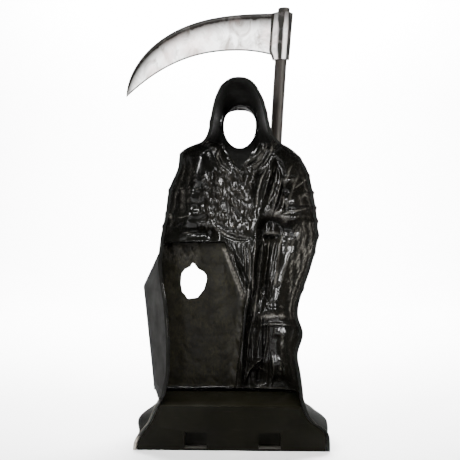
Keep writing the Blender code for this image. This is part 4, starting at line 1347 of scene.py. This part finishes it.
def boxOutline(left, right, low, high):
    return [(left, low), (right, low), (right, high), (left, high)]


def stepTools():
    # what is cut from the step and joined to it, in this order
    wall, deep = step["wall"], step["depth"]
    tools = [('DIFFERENCE', prismMesh("stepHollow", stepOutline(wall), wall, deep - wall))]
    leftEdge, rightEdge = (float(edge[0]) for edge in rimEdges(np.array([0.0])))
    inset = statue["flange"] + step["foot"]
    mouth = boxOutline(leftEdge + inset, rightEdge - inset, -wall, 2 * wall)
    tools.append(('DIFFERENCE', prismMesh("stepMouth", mouth, step["foot"], deep - step["foot"])))
    for side in (-1, 1):
        middle, half = step["pocketX"] + side * step["pocketSpacing"] / 2, step["pocketWidth"] / 2
        left, right = middle - half, middle + half
        low, high = step["sill"], step["sill"] + step["pocketHeight"]
        lining = boxOutline(left - wall, right + wall, low - 0.4 * wall, high + wall)
        tools.append(('UNION', prismMesh("pocketLining", lining, wall / 2, step["pocketDepth"] + wall)))
        pocket = boxOutline(left, right, low, high)
        tools.append(('DIFFERENCE', prismMesh("pocketMouth", pocket, -wall, step["pocketDepth"])))
    return tools


def makeStep():
    body = prismMesh("stepMoulded", stepOutline(0.0), 0.0, step["depth"])
    tools = stepTools()
    for kind, tool in tools:
        cut = body.modifiers.new(tool.name, 'BOOLEAN')
        cut.operation = kind
        cut.object = tool
        cut.solver = 'EXACT'
    rounding = body.modifiers.new("rounding", 'BEVEL')
    rounding.width = step["round"]
    rounding.segments = 3
    rounding.limit_method = 'ANGLE'
    rounding.angle_limit = math.radians(50)
    rounding.use_clamp_overlap = True
    mesh = bpy.data.meshes.new_from_object(body.evaluated_get(bpy.context.evaluated_depsgraph_get()))
    for thing in [body] + [tool for kind, tool in tools]:
        bpy.data.objects.remove(thing, do_unlink=True)
    mesh.materials.clear()
    for paint in (stepPaint, treadPaint, sillPaint):
        mesh.materials.append(paint)
    # the upward faces are painted paler, as painted light from above, and the pockets' floors palest
    for face in mesh.polygons:
        if face.normal.z > 0.45:
            face.material_index = 2 if face.center.z < 2 * step["sill"] else 1
    mesh.shade_smooth()
    mesh.set_sharp_from_angle(angle=math.radians(35))
    thing = bpy.data.objects.new("stepMoulded", mesh)
    bpy.context.scene.collection.objects.link(thing)
    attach(thing, "root")
    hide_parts("rear_step")
    print("step made", len(mesh.polygons))


makeStep()

# Camera, backdrop and lights
view = {"place": (0.1775, -4.480, 1.300), "turn": 1.8, "down": 1.761, "lens": 62.609, "sensor": 36.0}
cameraData = bpy.data.cameras.new("camera")
cameraData.lens = view["lens"]
cameraData.sensor_width = view["sensor"]
camera = bpy.data.objects.new("camera", cameraData)
camera.location = view["place"]
camera.rotation_euler = (math.radians(90 - view["down"]), 0, math.radians(view["turn"]))
bpy.context.scene.collection.objects.link(camera)
bpy.context.scene.camera = camera

backdrop = {
    "halfWidth": 9.0, "near": -2.2, "far": 8.5, "height": 9.5, "bend": 3.0,
    "below": 0.0005,        # from the floor that the statue stands on
    "white": (0.88, 0.88, 0.88), "whiter": (0.92, 0.92, 0.92),
}


def makeBackdrop():
    # a floor that bends up into a wall
    bend, flat = backdrop["bend"], backdrop["far"] - backdrop["bend"]
    profile = [(backdrop["near"], 0.0), (flat, 0.0)]
    for index in range(1, 17):
        angle = index / 16 * math.pi / 2
        profile.append((flat + bend * math.sin(angle), bend * (1 - math.cos(angle))))
    profile.append((backdrop["far"], backdrop["height"]))
    points = []
    for x in (-backdrop["halfWidth"], backdrop["halfWidth"]):
        points += [(x, y, z - backdrop["below"]) for y, z in profile]
    wide = len(profile)
    faces = [(c, wide + c, wide + c + 1, c + 1) for c in range(wide - 1)]
    mesh = bpy.data.meshes.new("backdrop")
    mesh.from_pydata(points, [], faces)
    mesh.shade_smooth()
    paint = Paint("palePaper")
    grain = paint.noise(1.4, 4, 0.6)
    mesh.materials.append(paint.finish(paint.mix(grain, backdrop["white"], backdrop["whiter"]), 0.9, 0.1))
    thing = bpy.data.objects.new("backdrop", mesh)
    bpy.context.scene.collection.objects.link(thing)


def softBox(name, place, target, size, power, spread):
    data = bpy.data.lights.new(name, 'AREA')
    data.shape = 'RECTANGLE'
    data.size, data.size_y = size
    data.energy = power
    data.spread = math.radians(spread)
    light = bpy.data.objects.new(name, data)
    light.location = place
    light.rotation_euler = (Vector(target) - Vector(place)).to_track_quat('-Z', 'Y').to_euler()
    bpy.context.scene.collection.objects.link(light)


# Place, target, size, power in watts and spread in degrees
lights = {
    "keyLeft": ((-3.0, -3.4, 2.4), (0.1, 0.0, 1.1), (0.40, 2.2), 30, 50),
    "sideLeft": ((-3.9, -1.7, 2.0), (0.30, 0.0, 1.1), (0.35, 1.8), 18, 45),
    "edgeRight": ((3.4, -2.6, 2.2), (0.1, 0.0, 1.0), (0.30, 2.0), 22, 50),
    "overhead": ((0.3, -2.4, 4.4), (0.1, 0.0, 1.1), (2.0, 0.4), 34, 50),
    "frontLow": ((-1.1, -5.2, 1.0), (0.1, 0.0, 1.2), (0.3, 1.4), 5, 40),
    "bladeLight": ((-0.5, -3.8, 3.3), (-0.1, 0.19, 2.40), (0.8, 0.3), 4, 18),
    "backdropWash": ((0.0, 4.4, 6.6), (0.0, 8.2, 2.0), (9.0, 1.6), 7500, 180),
    "floorWash": ((0.0, 2.9, 4.8), (0.0, 2.2, 0.0), (5.0, 1.2), 480, 110),
}
makeBackdrop()
for name, light in lights.items():
    softBox(name, *light)
world = bpy.data.worlds.new("studio")
world.use_nodes = True
world.node_tree.nodes["Background"].inputs["Color"].default_value = (1.0, 1.0, 1.0, 1)
world.node_tree.nodes["Background"].inputs["Strength"].default_value = 0.035
bpy.context.scene.world = world
print("camera and lights set")
